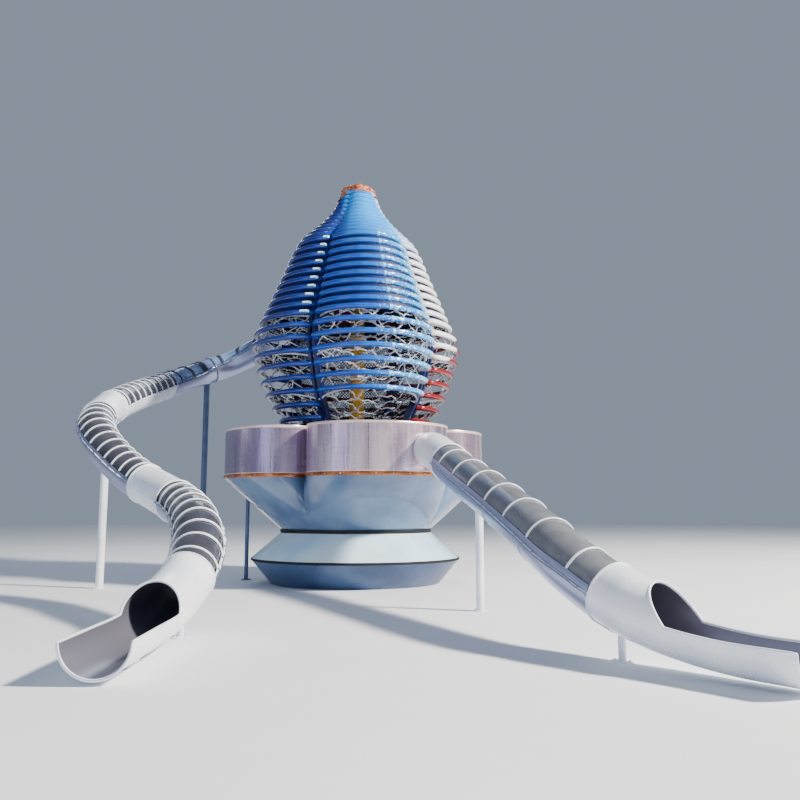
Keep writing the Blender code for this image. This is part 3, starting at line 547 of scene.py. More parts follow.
def done_editing() -> None:
    """Go back to object mode."""
    bpy.ops.object.mode_set(mode="OBJECT")


def modify(thing: Thing, kind: str, **settings: object) -> None:
    """Add a modifier and apply it.

    Args:
        thing: the object.
        kind: the modifier's type.
        **settings: its attributes.
    """
    only(thing)
    modifier = thing.modifiers.new(kind.lower(), kind)
    for key, value in settings.items():
        setattr(modifier, key, value)
    bpy.ops.object.modifier_apply(modifier=modifier.name)


def repeat(thing: Thing, count: int, step: float, **merging: object) -> None:
    """Repeat a piece along X.

    Args:
        thing: the piece.
        count: how many there are in all.
        step: how far apart they stand.
        **merging: further attributes of the modifier.
    """
    modify(
        thing, "ARRAY", count=count, use_relative_offset=False, use_constant_offset=True,
        constant_offset_displace=(step, 0, 0), **merging,
    )


def join(things: Sequence[Thing], name: str) -> Thing:
    """Join objects into the first one.

    Args:
        things: the objects.
        name: the joined piece's name.

    Returns:
        The joined piece.
    """
    deselect()
    for thing in things:
        thing.select_set(True)
    bpy.context.view_layer.objects.active = things[0]
    if len(things) > 1:
        bpy.ops.object.join()
    things[0].name = name
    return things[0]


def outward(thing: Thing) -> None:
    """Merge doubles and turn all faces outward."""
    edit(thing)
    bpy.ops.mesh.remove_doubles(threshold=0.0001)
    bpy.ops.mesh.normals_make_consistent(inside=False)
    done_editing()


def close_ends(thing: Thing) -> None:
    """Put a face in each open end."""
    edit(thing)
    bpy.ops.mesh.select_all(action="DESELECT")
    bpy.ops.mesh.select_non_manifold(extend=False)
    bpy.ops.mesh.edge_face_add()
    bpy.ops.mesh.select_all(action="SELECT")
    bpy.ops.mesh.normals_make_consistent(inside=False)
    done_editing()


def hand_over(
    thing: Thing, finish: Finish, stands_for: Iterable[str] = (), angle: float = 35.0
) -> Thing:
    """Finish a piece: place in its mesh, soft shading, material and body.

    Args:
        thing: the piece.
        finish: its finish.
        stands_for: CAD nodes that the piece replaces.
        angle: faces that meet at less than this many degrees are shaded as one surface.

    Returns:
        The piece.
    """
    only(thing)
    settle()
    bpy.ops.object.shade_smooth_by_angle(angle=math.radians(angle))
    thing.data.materials.clear()
    thing.data.materials.append(finish.material())
    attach(thing, BODY)
    nodes = list(stands_for)
    if nodes:
        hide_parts(*nodes)
    log.info("%s: %d faces", thing.name, len(thing.data.polygons))
    return thing


def turned_shell(name: str, profile: Profile) -> Thing:
    """Draw a ring up through a closed profile of radius and height, as on a lathe.

    Args:
        name: the object's name.
        profile: radius and height of each ring in turn.

    Returns:
        The shell.
    """
    deselect()
    radius, height = profile[0]
    bpy.ops.mesh.primitive_circle_add(
        vertices=ROUND_SIDES, radius=radius, location=(0, 0, height), rotation=(0, 0, FIRST_CREST)
    )
    shell = bpy.context.object
    shell.name = name
    settle()
    edit(shell)
    for next_radius, next_height in [*profile[1:], profile[0]]:
        bpy.ops.mesh.extrude_region_move(TRANSFORM_OT_translate={"value": (0, 0, next_height - height)})
        share = next_radius / radius
        bpy.ops.transform.resize(value=(share, share, 1), center_override=(0, 0, next_height))
        radius, height = next_radius, next_height
    done_editing()
    outward(shell)
    return shell


def press_lobes(shell: Thing, amount: Callable[[float], float], valley: float = VALLEY) -> None:
    """Press a round shell into four lobes.

    Args:
        shell: the round shell.
        amount: how far it is pressed at a height, from 0, round, to 1.
        valley: radius where two lobes meet, for a crest radius of one.
    """
    for vertex in shell.data.vertices:
        ratio = 1 + amount(vertex.co.z) * (lobe_ratio(angle_of(vertex.co), valley) - 1)
        vertex.co.x *= ratio
        vertex.co.y *= ratio


def lobed_shell(name: str, profile: Profile, valley: float = VALLEY) -> Thing:
    """A turned shell pressed into four lobes over its full height.

    Args:
        name: the object's name.
        profile: crest radius and height of each ring in turn.
        valley: radius where two lobes meet, for a crest radius of one.

    Returns:
        The shell.
    """
    shell = turned_shell(name, profile)
    press_lobes(shell, lambda z: 1.0, valley)
    return shell


def open_way(thing: Thing, way: Thing) -> None:
    """Cut a slide's way through a piece.

    Args:
        thing: the piece.
        way: the rod that fills the way, which is used up.
    """
    modify(thing, "BOOLEAN", solver="EXACT", object=way)
    bpy.data.objects.remove(way)


def pipes(
    name: str, lines: Sequence[Sequence[Vector]], radius: float, rounding: int = 4, loop: bool = False
) -> Thing:
    """Bend round pipes along lines of points.

    Args:
        name: the object's name.
        lines: the points of each pipe's middle line.
        radius: the pipes' radius.
        rounding: Blender's bevel resolution, 4 for twelve sides.
        loop: each pipe closes on itself.

    Returns:
        The pipes, as one mesh object.
    """
    curve = bpy.data.curves.new(name, "CURVE")
    curve.dimensions = "3D"
    curve.bevel_depth = radius
    curve.bevel_resolution = rounding
    curve.use_fill_caps = True
    curve.twist_mode = "Z_UP"
    for line in lines:
        spline = curve.splines.new("POLY")
        spline.points.add(len(line) - 1)
        for place, point in zip(spline.points, line):
            place.co = (*point, 1.0)
        spline.use_cyclic_u = loop
    thing = bpy.data.objects.new(name, curve)
    bpy.context.scene.collection.objects.link(thing)
    only(thing)
    bpy.ops.object.convert(target="MESH")
    return bpy.context.object


def hex_bolt(place: Vector, outward_to: Vector, size: float) -> Thing:
    """One hexagonal bolt head with a washer.

    Args:
        place: where the washer lies on the surface.
        outward_to: the direction that the bolt stands out in.
        size: the head's width.

    Returns:
        The bolt.
    """
    deselect()
    turn = outward_to.to_track_quat("Z", "Y").to_euler()
    bpy.ops.mesh.primitive_cylinder_add(vertices=12, radius=size * 0.85, depth=size * 0.2, rotation=turn)
    washer = bpy.context.object
    washer.location = place + outward_to.normalized() * size * 0.1
    settle()
    bpy.ops.mesh.primitive_cylinder_add(vertices=6, radius=size * 0.55, depth=size * 0.5, rotation=turn)
    head = bpy.context.object
    head.location = place + outward_to.normalized() * size * 0.4
    settle()
    edit(head)
    bpy.ops.mesh.bevel(offset=size * 0.06, segments=1, affect="EDGES")
    done_editing()
    return join([washer, head], "bolt")


def runs(points: Iterable[Vector | None]) -> Lines:
    """Split a row of points at its gaps and leave out single points.

    Args:
        points: the row, with None for each gap.

    Returns:
        The runs of two points or more.
    """
    found: Lines = [[]]
    for point in points:
        if point is not None:
            found[-1].append(point)
        elif found[-1]:
            found.append([])
    return [run for run in found if len(run) > 1]


def swept(name: str, loops: Sequence[Sequence[Vector]]) -> Thing:
    """Skin a solid over successive closed loops of points, with both ends closed.

    Args:
        name: the object's name.
        loops: the loops, all with the same number of points.

    Returns:
        The solid.
    """
    size = len(loops[0])
    faces = [tuple(range(size)), tuple(range((len(loops) - 1) * size, len(loops) * size))]
    for row in range(len(loops) - 1):
        for k in range(size):
            n = (k + 1) % size
            faces.append((row * size + k, row * size + n, (row + 1) * size + n, (row + 1) * size + k))
    mesh = bpy.data.meshes.new(name)
    mesh.from_pydata([point for loop in loops for point in loop], [], faces)
    thing = bpy.data.objects.new(name, mesh)
    bpy.context.scene.collection.objects.link(thing)
    outward(thing)
    return thing


@dataclass
class RoundBase:
    """The two cones of the base, their gaskets and the lobed bowl."""

    foot: float = 2.00
    rim: float = 2.47
    height: float = 0.56
    wall: float = 0.12
    soft: float = 0.012
    # How far each point of a gasket's lip stands out from the shells, and how far it lies over them.
    rim_lip: Profile = ((-0.003, 0.0), (0.003, 0.009), (-0.005, 0.020), (0.014, 0.016))
    waist_lip: Profile = ((-0.003, 0.0), (0.013, 0.010), (0.041, 0.030), (0.050, 0.020))

    def build(self) -> None:
        """Build and dress the base from the ground to the drum."""
        self.foot_cone()
        self.skirt()
        self.bowl()

    def gasket(self, name: str, radius: float, height: float, lip: Profile) -> Thing:
        """A rubber ring between two shells, with a lip that laps over both edges.

        Args:
            name: the piece's name.
            radius: outer radius of the shells that it parts.
            height: its lower edge.
            lip: the lip's points, as distances out from the shells and along them.

        Returns:
            The gasket.
        """
        low = height + 0.0005
        top = height + SEAM_HEIGHT - 0.0005
        outside = [(radius + out, low - away) for out, away in lip]
        outside += [(radius + out, top + away) for out, away in reversed(lip)]
        return turned_shell(name, outside + [(radius - 0.10, top), (radius - 0.10, low)])

    def foot_cone(self) -> None:
        """The lower cone, with a rolled rim and a flat foot."""
        cone = turned_shell(
            "foot_cone",
            [
                (self.foot, 0.0), (self.foot + 0.012, 0.004), (self.rim - 0.012, self.height - 0.022),
                (self.rim, self.height - 0.008), (self.rim - 0.006, self.height),
                (self.rim - self.wall, self.height), (self.foot - self.wall / 2, 0.05),
                (self.foot - self.wall, 0.0),
            ],
        )
        hand_over(cone, BASE_PAINT, ("base_shell",))
        ring = self.gasket("base_gasket", self.rim, self.height, self.rim_lip)
        hand_over(ring, SEAM_RUBBER, ("base_seam",))

    def skirt(self) -> None:
        """The upper cone, closing in to the waist."""
        bottom = self.height + SEAM_HEIGHT
        skirt = turned_shell(
            "skirt_cone",
            [
                (self.rim - self.soft, bottom), (self.rim, bottom + 0.010),
                (self.rim - 0.010, bottom + 0.026), (WAIST_RADIUS + 0.008, WAIST_HEIGHT - 0.012),
                (WAIST_RADIUS - 0.004, WAIST_HEIGHT), (WAIST_RADIUS - self.wall, WAIST_HEIGHT),
                (self.rim - self.wall, bottom),
            ],
        )
        hand_over(skirt, GELCOAT, ("skirt_shell",))
        ring = self.gasket("waist_gasket", WAIST_RADIUS, WAIST_HEIGHT, self.waist_lip)
        hand_over(ring, SEAM_RUBBER, ("waist_seam",))

    def bowl(self) -> None:
        """The bowl, round at the waist and lobed at the rim."""
        steps = 18
        rise = BOWL_TOP - BOWL_BOTTOM
        profile = [(WAIST_RADIUS - 0.004, BOWL_BOTTOM), (WAIST_RADIUS + 0.006, BOWL_BOTTOM + 0.010)]
        for step in range(1, steps + 1):
            share = step / steps
            profile.append((WAIST_RADIUS + (DRUM_RADIUS - WAIST_RADIUS) * share, BOWL_BOTTOM + rise * share))
        profile += [(DRUM_RADIUS - 0.14, BOWL_TOP), (WAIST_RADIUS - self.wall, BOWL_BOTTOM)]
        bowl = turned_shell("lobed_bowl", profile)
        press_lobes(bowl, lambda z: max(0.0, min(1.0, (z - BOWL_BOTTOM) / rise)) ** 2)
        hand_over(bowl, SHADED_BOWL_GELCOAT, ("bowl_shell",), angle=50)


@dataclass
class Drum:
    """The deck with its edge strip, and the polished wall of four lobes."""

    strip_proud: float = 0.02
    strip_depth: float = 0.10
    wall: float = 0.04
    hem_depth: float = 0.07
    hem_height: float = 0.06
    bolt_size: float = 0.030
    bolts_per_lobe: int = 13
    seam_angles: tuple[float, ...] = (4.5, 94.5, 184.5, 274.5)

    def build(self) -> None:
        """Build and dress the drum."""
        self.deck()
        self.edge_strip()
        self.wall_sheets()
        self.strip_bolts()

    def ring(self, name: str, offsets: Profile) -> Thing:
        """A lobed ring at the drum's edge.

        Args:
            name: the ring's name.
            offsets: how far each point lies outside the drum's radius, and its height.

        Returns:
            The ring.
        """
        return lobed_shell(name, [(DRUM_RADIUS + out, height) for out, height in offsets])

    def deck(self) -> None:
        """The deck plate with its coat."""
        out = self.strip_proud - self.strip_depth - 0.012
        hole = 0.10 - DRUM_RADIUS
        low = BOWL_TOP + 0.001
        plate = self.ring("deck_floor", [(hole, low), (out, low), (out, DECK_HEIGHT), (hole, DECK_HEIGHT)])
        hand_over(plate, DECK_COAT, ("deck_plate",))

    def edge_strip(self) -> None:
        """The copper-coloured strip round the deck, with softened edges."""
        out = self.strip_proud
        inside = out - self.strip_depth
        low, high = BOWL_TOP + 0.001, DECK_HEIGHT - 0.001
        offsets = [(out - 0.006, low), (out, low + 0.007), (out, high - 0.009), (out - 0.006, high)]
        strip = self.ring("copper_edge_strip", offsets + [(inside, high), (inside, low)])
        hand_over(strip, COPPER_PAINT, ("deck_edge_band",), angle=50)

    def wall_sheets(self) -> None:
        """The wall sheets, their folded hems at top and bottom and the seams between them."""
        foot = DECK_HEIGHT + 0.001
        fold = WALL_TOP - self.hem_height
        sheet = self.ring(
            "polished_wall",
            [
                (-0.003, DECK_HEIGHT + 0.026), (-0.003, fold), (-self.wall, fold), (-self.wall, foot),
                (-0.003, foot),
            ],
        )
        open_way(sheet, SHORT_LINE.rod(0.0, ShortSlide.entry_end, TUBE + 0.004))
        hand_over(sheet, WALL_STEEL, [f"wall_{side}" for side in SIDES], angle=50)
        top_hem = self.ring(
            "wall_top_hem",
            [
                (-0.008, fold), (0.0, fold + 0.008), (0.0, WALL_TOP - 0.014), (-0.012, WALL_TOP),
                (0.012 - self.hem_depth, WALL_TOP), (-self.hem_depth, WALL_TOP - 0.014),
                (-self.hem_depth, fold),
            ],
        )
        foot_hem = self.ring(
            "wall_foot_hem",
            [(0.004, foot), (0.004, DECK_HEIGHT + 0.022), (-0.002, DECK_HEIGHT + 0.026), (-0.002, foot)],
        )
        hand_over(join([top_hem, foot_hem], "wall_hems"), HEM_STEEL, angle=50)
        strips = []
        for angle in map(math.radians, self.seam_angles):
            radius = DRUM_RADIUS * lobe_ratio(angle)
            strips.append([polar(radius, angle, height) for height in (DECK_HEIGHT + 0.03, fold)])
        hand_over(pipes("wall_seam_strips", strips, 0.004, 2), FRAME_DARK)

    def strip_bolts(self) -> None:
        """Small bright bolts along the edge strip."""
        heads = []
        step = 0.002
        for lobe in range(LOBES):
            for k in range(self.bolts_per_lobe):
                off = (k / (self.bolts_per_lobe - 1) - 0.5) * 2 * HALF_LOBE * 0.9
                angle = FIRST_CREST + 2 * HALF_LOBE * lobe + off
                before, after = (polar(lobe_ratio(turn), turn, 0) for turn in (angle - step, angle + step))
                along = (after - before).normalized()
                normal = Vector((along.y, -along.x, 0))
                out = (DRUM_RADIUS + self.strip_proud) * lobe_ratio(angle)
                place = polar(out, angle, (BOWL_TOP + DECK_HEIGHT) / 2)
                heads.append(hex_bolt(place - normal * 0.014, normal, self.bolt_size))
        hand_over(join(heads, "edge_strip_bolts"), BOLT_ZINC)


@dataclass
class Bud:
    """Four petals of bent pipes, the crown of touching pipes, the cap, column and nets."""

    profile: Profile = (
        (3.83, 1.90), (4.35, 2.22), (5.00, 2.46), (5.63, 2.61), (6.50, 2.28), (7.50, 1.85), (8.22, 1.52),
        (8.80, 0.94), (9.20, 0.63), (9.75, 0.42),
    )
    pipe: float = 0.125
    rings: int = 18
    lowest: float = 3.804
    lower_pitch: float = 0.298
    upper_pitch: float = 0.22
    open_rings: int = 9
    lining: float = 0.09
    front_opening: int = 2
    crown_pipes: int = 11
    crown_top: float = 9.70
    cap_height: float = 0.29
    cap_radius: float = 0.44
    # Radius and height of the cap's rings, as shares of the cap's.
    cap_shares: Profile = (
        (1.02, 0.10), (1.01, 0.22), (0.93, 0.36), (0.70, 0.56), (0.36, 0.74), (0.14, 0.90), (0.06, 1.0)
    )
    column: float = 0.18
    column_top: float = 9.20
    valley: float = 0.80
    rib_depth: float = 0.16
    net_rings: tuple[int, ...] = (2, 5, 8)
    net_drops: tuple[float, ...] = (0.75, 0.45, 0.30)
    rope: float = 0.015
    mesh_rope: float = 0.009
    net_spacing: float = 0.40
    net_wander: float = 0.07
    mesh_spacing: float = 0.09
    curtain_ropes: int = 22
    curtain_wander: float = 0.022
    curtain_mesh: int = 170
    curtain_bare: float = 125.0

    def build(self) -> None:
        """Build and dress everything above the drum."""
        self.petals()
        self.sleeves()
        self.crown()
        self.cap()
        self.centre_column()
        for number in range(len(self.net_rings)):
            self.net(number)
        self.curtain()

    @property
    def tier_top(self) -> float:
        """Height of the upper tier's top, where the crown starts."""
        return self.ring_height(self.rings - 1) + self.pipe / 2

    def ring_height(self, ring: float) -> float:
        """Height of a ring's middle; the lined rings of the upper tier stand closer together."""
        lower = min(ring, self.open_rings - 1)
        return self.lowest + lower * self.lower_pitch + (ring - lower) * self.upper_pitch

    def radius_at(self, height: float) -> float:
        """Crest radius of the bud at a height, as a smooth curve through its profile.

        Args:
            height: height above the ground.

        Returns:
            The crest radius at the pipes' outer face.
        """
        points = self.profile
        height = max(points[0][0], min(points[-1][0] - 1e-6, height))
        k = max(n for n in range(len(points) - 1) if points[n][0] <= height)

        def slope(n: int) -> float:
            """Slope of the curve at a profile point."""
            low = points[max(n - 1, 0)]
            high = points[min(n + 1, len(points) - 1)]
            return (high[1] - low[1]) / (high[0] - low[0])

        (z0, r0), (z1, r1) = points[k], points[k + 1]
        span = z1 - z0
        t = (height - z0) / span
        return (
            r0 * (2 * t**3 - 3 * t**2 + 1)
            + r1 * (3 * t**2 - 2 * t**3)
            + slope(k) * span * (t**3 - 2 * t**2 + t)
            + slope(k + 1) * span * (t**3 - t**2)
        )

    def bent_pipe(self, lobe: int, height: float) -> list[Vector]:
        """Middle line of one petal pipe: a round back, and both ends turned in at the valleys.

        Args:
            lobe: the petal's number, from the front.
            height: height of the pipe's middle.

        Returns:
            Points from one end to the other.
        """
        crest = FIRST_CREST + 2 * HALF_LOBE * lobe
        radius = self.radius_at(height) - self.pipe / 2
        beside = self.pipe / 2 + 0.005
        half = []
        for k in range(11):
            off = HALF_LOBE * 0.90 * k / 10
            across = LOBE_CENTRE * math.sin(off)
            reach = radius * (LOBE_CENTRE * math.cos(off) + math.sqrt(LOBE_ARC**2 - across**2))
            half.append(Vector((reach * math.cos(off), reach * math.sin(off))))
        along = Vector((math.cos(HALF_LOBE), math.sin(HALF_LOBE)))
        aside = Vector((math.sin(HALF_LOBE), -math.cos(HALF_LOBE))) * beside
        corner = along * (self.valley * radius * 1.015) + aside
        end = along * (self.valley * radius - self.rib_depth) + aside
        start = half.pop()
        for k in range(7):
            t = k / 6
            bent = start * (1 - t) ** 2 + corner * (2 * t * (1 - t))
            half.append(bent + (corner * 0.35 + end * 0.65) * t**2)
        half.append(end)
        line = [Vector((p.x, -p.y)) for p in half[:0:-1]] + half
        turn = crest - math.pi / 2
        cosine, sine = math.cos(turn), math.sin(turn)
        return [Vector((p.x * cosine - p.y * sine, p.x * sine + p.y * cosine, height)) for p in line]

    def petals(self) -> None:
        """The four petals, with ribs in their valleys and a lining behind the upper tier."""
        ribs = []
        for lobe, side in enumerate(SIDES):
            first = self.front_opening if side == "front" else 0
            lines = [self.bent_pipe(lobe, self.ring_height(ring)) for ring in range(first, self.rings)]
            petal = pipes(f"petal_{side}", lines, self.pipe / 2)
            if side == "back":
                open_way(petal, self.slide_rod())
            hand_over(petal, BUD_PAINT, (f"petal_{side}_lower", f"petal_{side}_upper"))
            ribs += [self.rib(lobe, end) for end in (0, -1)]
        hand_over(join(ribs, "petal_ribs"), RIB_PAINT, angle=50)
        lining = lobed_shell("upper_lining", self.lining_shell(), LINING_VALLEY)
        open_way(lining, self.slide_rod())
        hand_over(lining, LINING_SHEET, angle=50)

    def slide_rod(self) -> Thing:
        """The rod that fills the long slide's way through the bud."""
        return LONG_LINE.rod(0.0, LongSlide.entry_end, TUBE + 0.003)

    def sleeves(self) -> None:
        """The sleeves on the front petal's crest, and the pale marks where the left petal's pipes end, which
        are painted highlights.
        """
        sleeves = []
        for ring in range(self.front_opening, self.rings):
            line = self.bent_pipe(0, self.ring_height(ring))
            middle = len(line) // 2
            here, after = line[middle + 1], line[middle + 2]
            step = (after - here).normalized() * 0.035
            sleeves.append([here - step, here + step])
        hand_over(pipes("front_pipe_sleeves", sleeves, self.pipe / 2 + 0.004), SLEEVE_PAINT)
        highlight_marks = []
        # The painted highlights sit a little up and toward the front right, on the pipes' lit side.
        raised = Vector((0.012, -0.022, 0.014))
        for ring in range(self.open_rings - 1, self.rings):
            line = self.bent_pipe(3, self.ring_height(ring))
            highlight_marks.append([point + raised for point in line[-9:-6]])
        arc = [math.radians(turn) for turn in (-41, -38, -35)]
        for height, radius, pitch in self.crown_rings():
            reach = radius + 0.02
            highlight_marks.append([polar(reach * lobe_ratio(turn, CROWN_VALLEY), turn, height + 0.02) for turn in arc])
        hand_over(pipes("left_pipe_end_painted_highlights", highlight_marks, self.pipe * 0.36), END_HIGHLIGHT_PAINT)

    def rib(self, lobe: int, end: int) -> Thing:
        """The upright plate in a valley that one side of a petal's pipes is welded to.

        Args:
            lobe: the petal's number, from the front.
            end: which end of its pipes, 0 or -1.

        Returns:
            The plate.
        """
        steps = 48
        low, top = DECK_HEIGHT + 0.002, self.tier_top
        loops = []
        for k in range(steps + 1):
            height = low + (top - low) * k / steps
            line = self.bent_pipe(lobe, max(height, self.lowest))
            tip, before = (line[0], line[1]) if end == 0 else (line[-1], line[-2])
            out = (before - tip).normalized()
            aside = Vector((-out.y, out.x, 0)) * self.pipe * 0.3
            far = tip + out * (self.rib_depth + 0.02)
            loop = [tip - aside, far - aside, far + aside, tip + aside]
            loops.append([Vector((p.x, p.y, height)) for p in loop])
        return swept("rib", loops)

    def lining_shell(self) -> list[tuple[float, float]]:
        """Radius and height of the sheet that closes the upper tier behind its pipes."""
        low = self.ring_height(self.open_rings - 1) + self.pipe / 2 + 0.002
        heights = [low + (self.tier_top - low) * k / 12 for k in range(13)]
        outside = [(self.radius_at(z) - self.lining, z) for z in heights]
        return outside + [(radius - 0.02, z) for radius, z in reversed(outside)]

    def crown_rings(self) -> list[Point]:
        """Height, radius and pitch of each of the crown's pipes."""
        pitch = (self.crown_top - self.tier_top) / self.crown_pipes
        heights = [self.tier_top + (number + 0.5) * pitch for number in range(self.crown_pipes)]
        return [(height, self.radius_at(height) - pitch / 2, pitch) for height in heights]

    def crown(self) -> None:
        """The touching pipes at the top, over an inner lining."""
        turns = [2 * math.pi * k / 96 for k in range(96)]
        rings = []
        for height, radius, pitch in self.crown_rings():
            rings.append([polar(radius * lobe_ratio(turn, CROWN_VALLEY), turn, height) for turn in turns])
        crown = pipes("crown_touching_pipes", rings, pitch * 0.54, 3, loop=True)
        heights = [self.tier_top + (self.crown_top - self.tier_top) * k / 10 for k in range(11)]
        profile = [(self.radius_at(z) - 0.06, z) for z in heights]
        profile += [(self.radius_at(z) - 0.08, z) for z in reversed(heights)]
        lining = lobed_shell("crown_lining", profile, CROWN_VALLEY)
        hand_over(join([crown, lining], "crown_touching_pipes"), BUD_PAINT, ("crown_pipes",))

    def cap(self) -> None:
        """The copper-coloured tip, lobed and pleated like closed petals."""
        base, high, radius = self.crown_top, self.cap_height, self.cap_radius
        profile = [(radius * 0.97, base + 0.002)]
        profile += [(radius * out, base + high * up) for out, up in self.cap_shares]
        cap = turned_shell("bud_tip", profile + [(0.001, base + high), (0.001, base + 0.002)])
        press_lobes(cap, lambda z: max(0.0, 1 - (z - base) / high) * 0.9, CROWN_VALLEY)
        pleats = 24
        for vertex in cap.data.vertices:
            share = (vertex.co.z - base) / high
            dip = 1 - 0.022 * (1 - share) * (0.5 + 0.5 * math.cos(pleats * angle_of(vertex.co)))
            vertex.co.x *= dip
            vertex.co.y *= dip
        hand_over(join([cap, self.cap_skirt()], "bud_tip"), CAP_COPPER, ("crown_cap",), angle=50)

    def cap_skirt(self) -> Thing:
        """The cap's skirt over the crown, short at the front and longer round the sides and back."""
        rows = 6
        profile = [(1.0, k / rows) for k in range(rows + 1)]
        skirt = turned_shell("tip_skirt", profile + [(0.97, share) for radius, share in reversed(profile)])
        for vertex in skirt.data.vertices:
            angle = angle_of(vertex.co)
            share = max(0.0, min(1.0, (abs(past_crest(angle)) - math.radians(45)) / math.radians(40)))
            low = self.crown_top - 0.08 - 0.15 * share * share * (3 - 2 * share)
            height = low + (self.crown_top + 0.02 - low) * vertex.co.z
            inside = math.hypot(vertex.co.x, vertex.co.y) < 0.985
            reach = (self.radius_at(height) + 0.014 - 0.010 * inside) * lobe_ratio(angle, CROWN_VALLEY)
            vertex.co = polar(reach, angle, height)
        return skirt

    def centre_column(self) -> None:
        """The gold column with a flanged foot and rings where the nets are tied."""
        r, low, top = self.column, DECK_HEIGHT + 0.001, self.column_top
        rings = [turned_shell("gold_column", [(r, low), (r, top), (r - 0.02, top), (r - 0.02, low)])]
        for ring, drop in zip(self.net_rings, self.net_drops):
            height = self.ring_height(ring) - drop
            line = [polar(r + 0.002, 2 * math.pi * k / 48, height) for k in range(48)]
            rings.append(pipes("collar", [line], 0.016, 3, loop=True))
        hand_over(join(rings, "gold_column"), COLUMN_GOLD, ("centre_column",))

    def net(self, number: int) -> None:
        """One rope net: white ropes with knots over a fine black mesh, falling to the column.

        Args:
            number: the net, from the lowest.
        """
        ring = self.net_rings[number]
        height = self.ring_height(ring)
        drop = self.net_drops[number]
        reach = self.radius_at(height) - self.pipe - 0.02
        passage = FIRST_CREST + number * math.radians(135) + math.radians(22.5)
        hole = polar(reach * 0.34, passage, 0)

        def inside(x: float, y: float) -> bool:
            """Whether the net has rope there."""
            radius = math.hypot(x, y)
            if math.hypot(x - hole.x, y - hole.y) < 0.22:
                return False
            return self.column + 0.03 < radius < reach * lobe_ratio(math.atan2(x, -y), LINING_VALLEY)

        def lie(x: float, y: float, lift: float = 0.0) -> Vector:
            """A point of the net, which sags and falls toward the column."""
            share = min(1.0, math.hypot(x, y) / reach)
            sag = 0.03 * math.sin(math.pi * share)
            return Vector((x, y, height - drop * (1 - share) - sag + lift))

        def strands(spacing: float, wander: float, lift: float, open_front: bool = False) -> Lines:
            """Both families of crossing ropes, each wandering a little from its straight line."""
            count = int(reach / spacing) + 1
            turn = math.radians(45)
            step = 0.11

            def point(family: int, k: int, n: int) -> Vector | None:
                """One point of a rope, or None where there is no rope."""
                u, v = k * spacing + wander * math.sin(9 * n * step + 2.4 * k), n * step
                if family:
                    u, v = v, u
                x = u * math.cos(turn) - v * math.sin(turn)
                y = u * math.sin(turn) + v * math.cos(turn)
                if not inside(x, y) or (open_front and y < 0.1 and abs(x) < 0.75):
                    return None
                return lie(x, y, lift * math.cos(math.pi * (k + n + family)))

            found = []
            along = range(-int(reach / step) - 1, int(reach / step) + 3)
            for family in (0, 1):
                for k in range(-count, count + 1):
                    found += runs(point(family, k, n) for n in along)
            return found

        rope = self.rope
        white = strands(self.net_spacing, self.net_wander, rope)
        border = []
        for angle in (2 * math.pi * k / 120 for k in range(121)):
            border.append(lie(*polar(reach * 0.998 * lobe_ratio(angle, LINING_VALLEY), angle, 0).xy))
        collar = [lie(*polar(self.column + 0.03, math.pi * k / 16, 0).xy) for k in range(33)]
        up = Vector((0, 0, rope * 1.7))
        knots = [[p - up, p, p + up] for run in white for p in run[1::3]]
        piece = join(
            [
                pipes("ropes", white, rope, 1),
                pipes("border", [border, collar], rope * 1.5, 2),
                pipes("knots", knots, rope * 1.7, 0),
            ],
            f"rope_net_{number + 1}",
        )
        hand_over(piece, ROPE, (f"net_floor_{number + 1}",))
        # The fine black mesh is partly painted shade, for the dark underside of the net.
        fine = strands(self.mesh_spacing, 0.0, 0.0, open_front=True)
        mesh = pipes(f"rope_net_{number + 1}_mesh", fine, self.mesh_rope, 0)
        hand_over(mesh, DARK_ROPE)

    def curtain(self) -> None:
        """The upright net inside the lower tier's pipes, open where the front pipes leave a way in."""
        low, high = self.ring_height(0), self.ring_height(self.open_rings - 1)
        way_in = self.ring_height(self.front_opening)

        def lie(angle: float, height: float, wander: float) -> Vector:
            """A point of the curtain, just inside the pipes."""
            reach = self.radius_at(height) - self.pipe - 0.035 + wander
            return polar(reach * lobe_ratio(angle, LINING_VALLEY), angle, height)

        def strands(count: int, wander: float, bare: float) -> Lines:
            """Both families of slanting ropes, each a little off its even place; bare at the front."""
            rows = 18

            def point(family: int, k: int, row: int) -> Vector | None:
                """One point of a rope, or None where there is no rope."""
                share = row / rows
                height = low + (high - low) * share
                slant = family * (1.05 + wander * 14 * math.sin(3.3 * k))
                angle = 2 * math.pi * (k + wander * 16 * math.sin(5.1 * k)) / count + slant * share
                angle += wander * 1.6 * math.sin(1.3 * row + 2.9 * k)
                off = abs(past_crest(angle))
                if (off < HALF_LOBE and height < way_in) or off < bare:
                    return None
                return lie(angle, height, wander * math.sin(2.1 * row + 1.7 * k))

            found = []
            for family in (-1, 1):
                for k in range(count):
                    found += runs(point(family, k, row) for row in range(rows + 1))
            return found

        white = strands(self.curtain_ropes, self.curtain_wander, 0.0)
        white = pipes("rope_curtain", white, self.rope * 0.8, 1)
        hand_over(white, ROPE)
        # The black mesh hangs only behind the bud's middle, as painted shade of the dark inside seen through
        # the front pipes.
        fine = strands(self.curtain_mesh, 0.0, math.radians(self.curtain_bare))
        mesh = pipes("rope_curtain_mesh", fine, self.mesh_rope, 0)
        hand_over(mesh, DARK_ROPE)


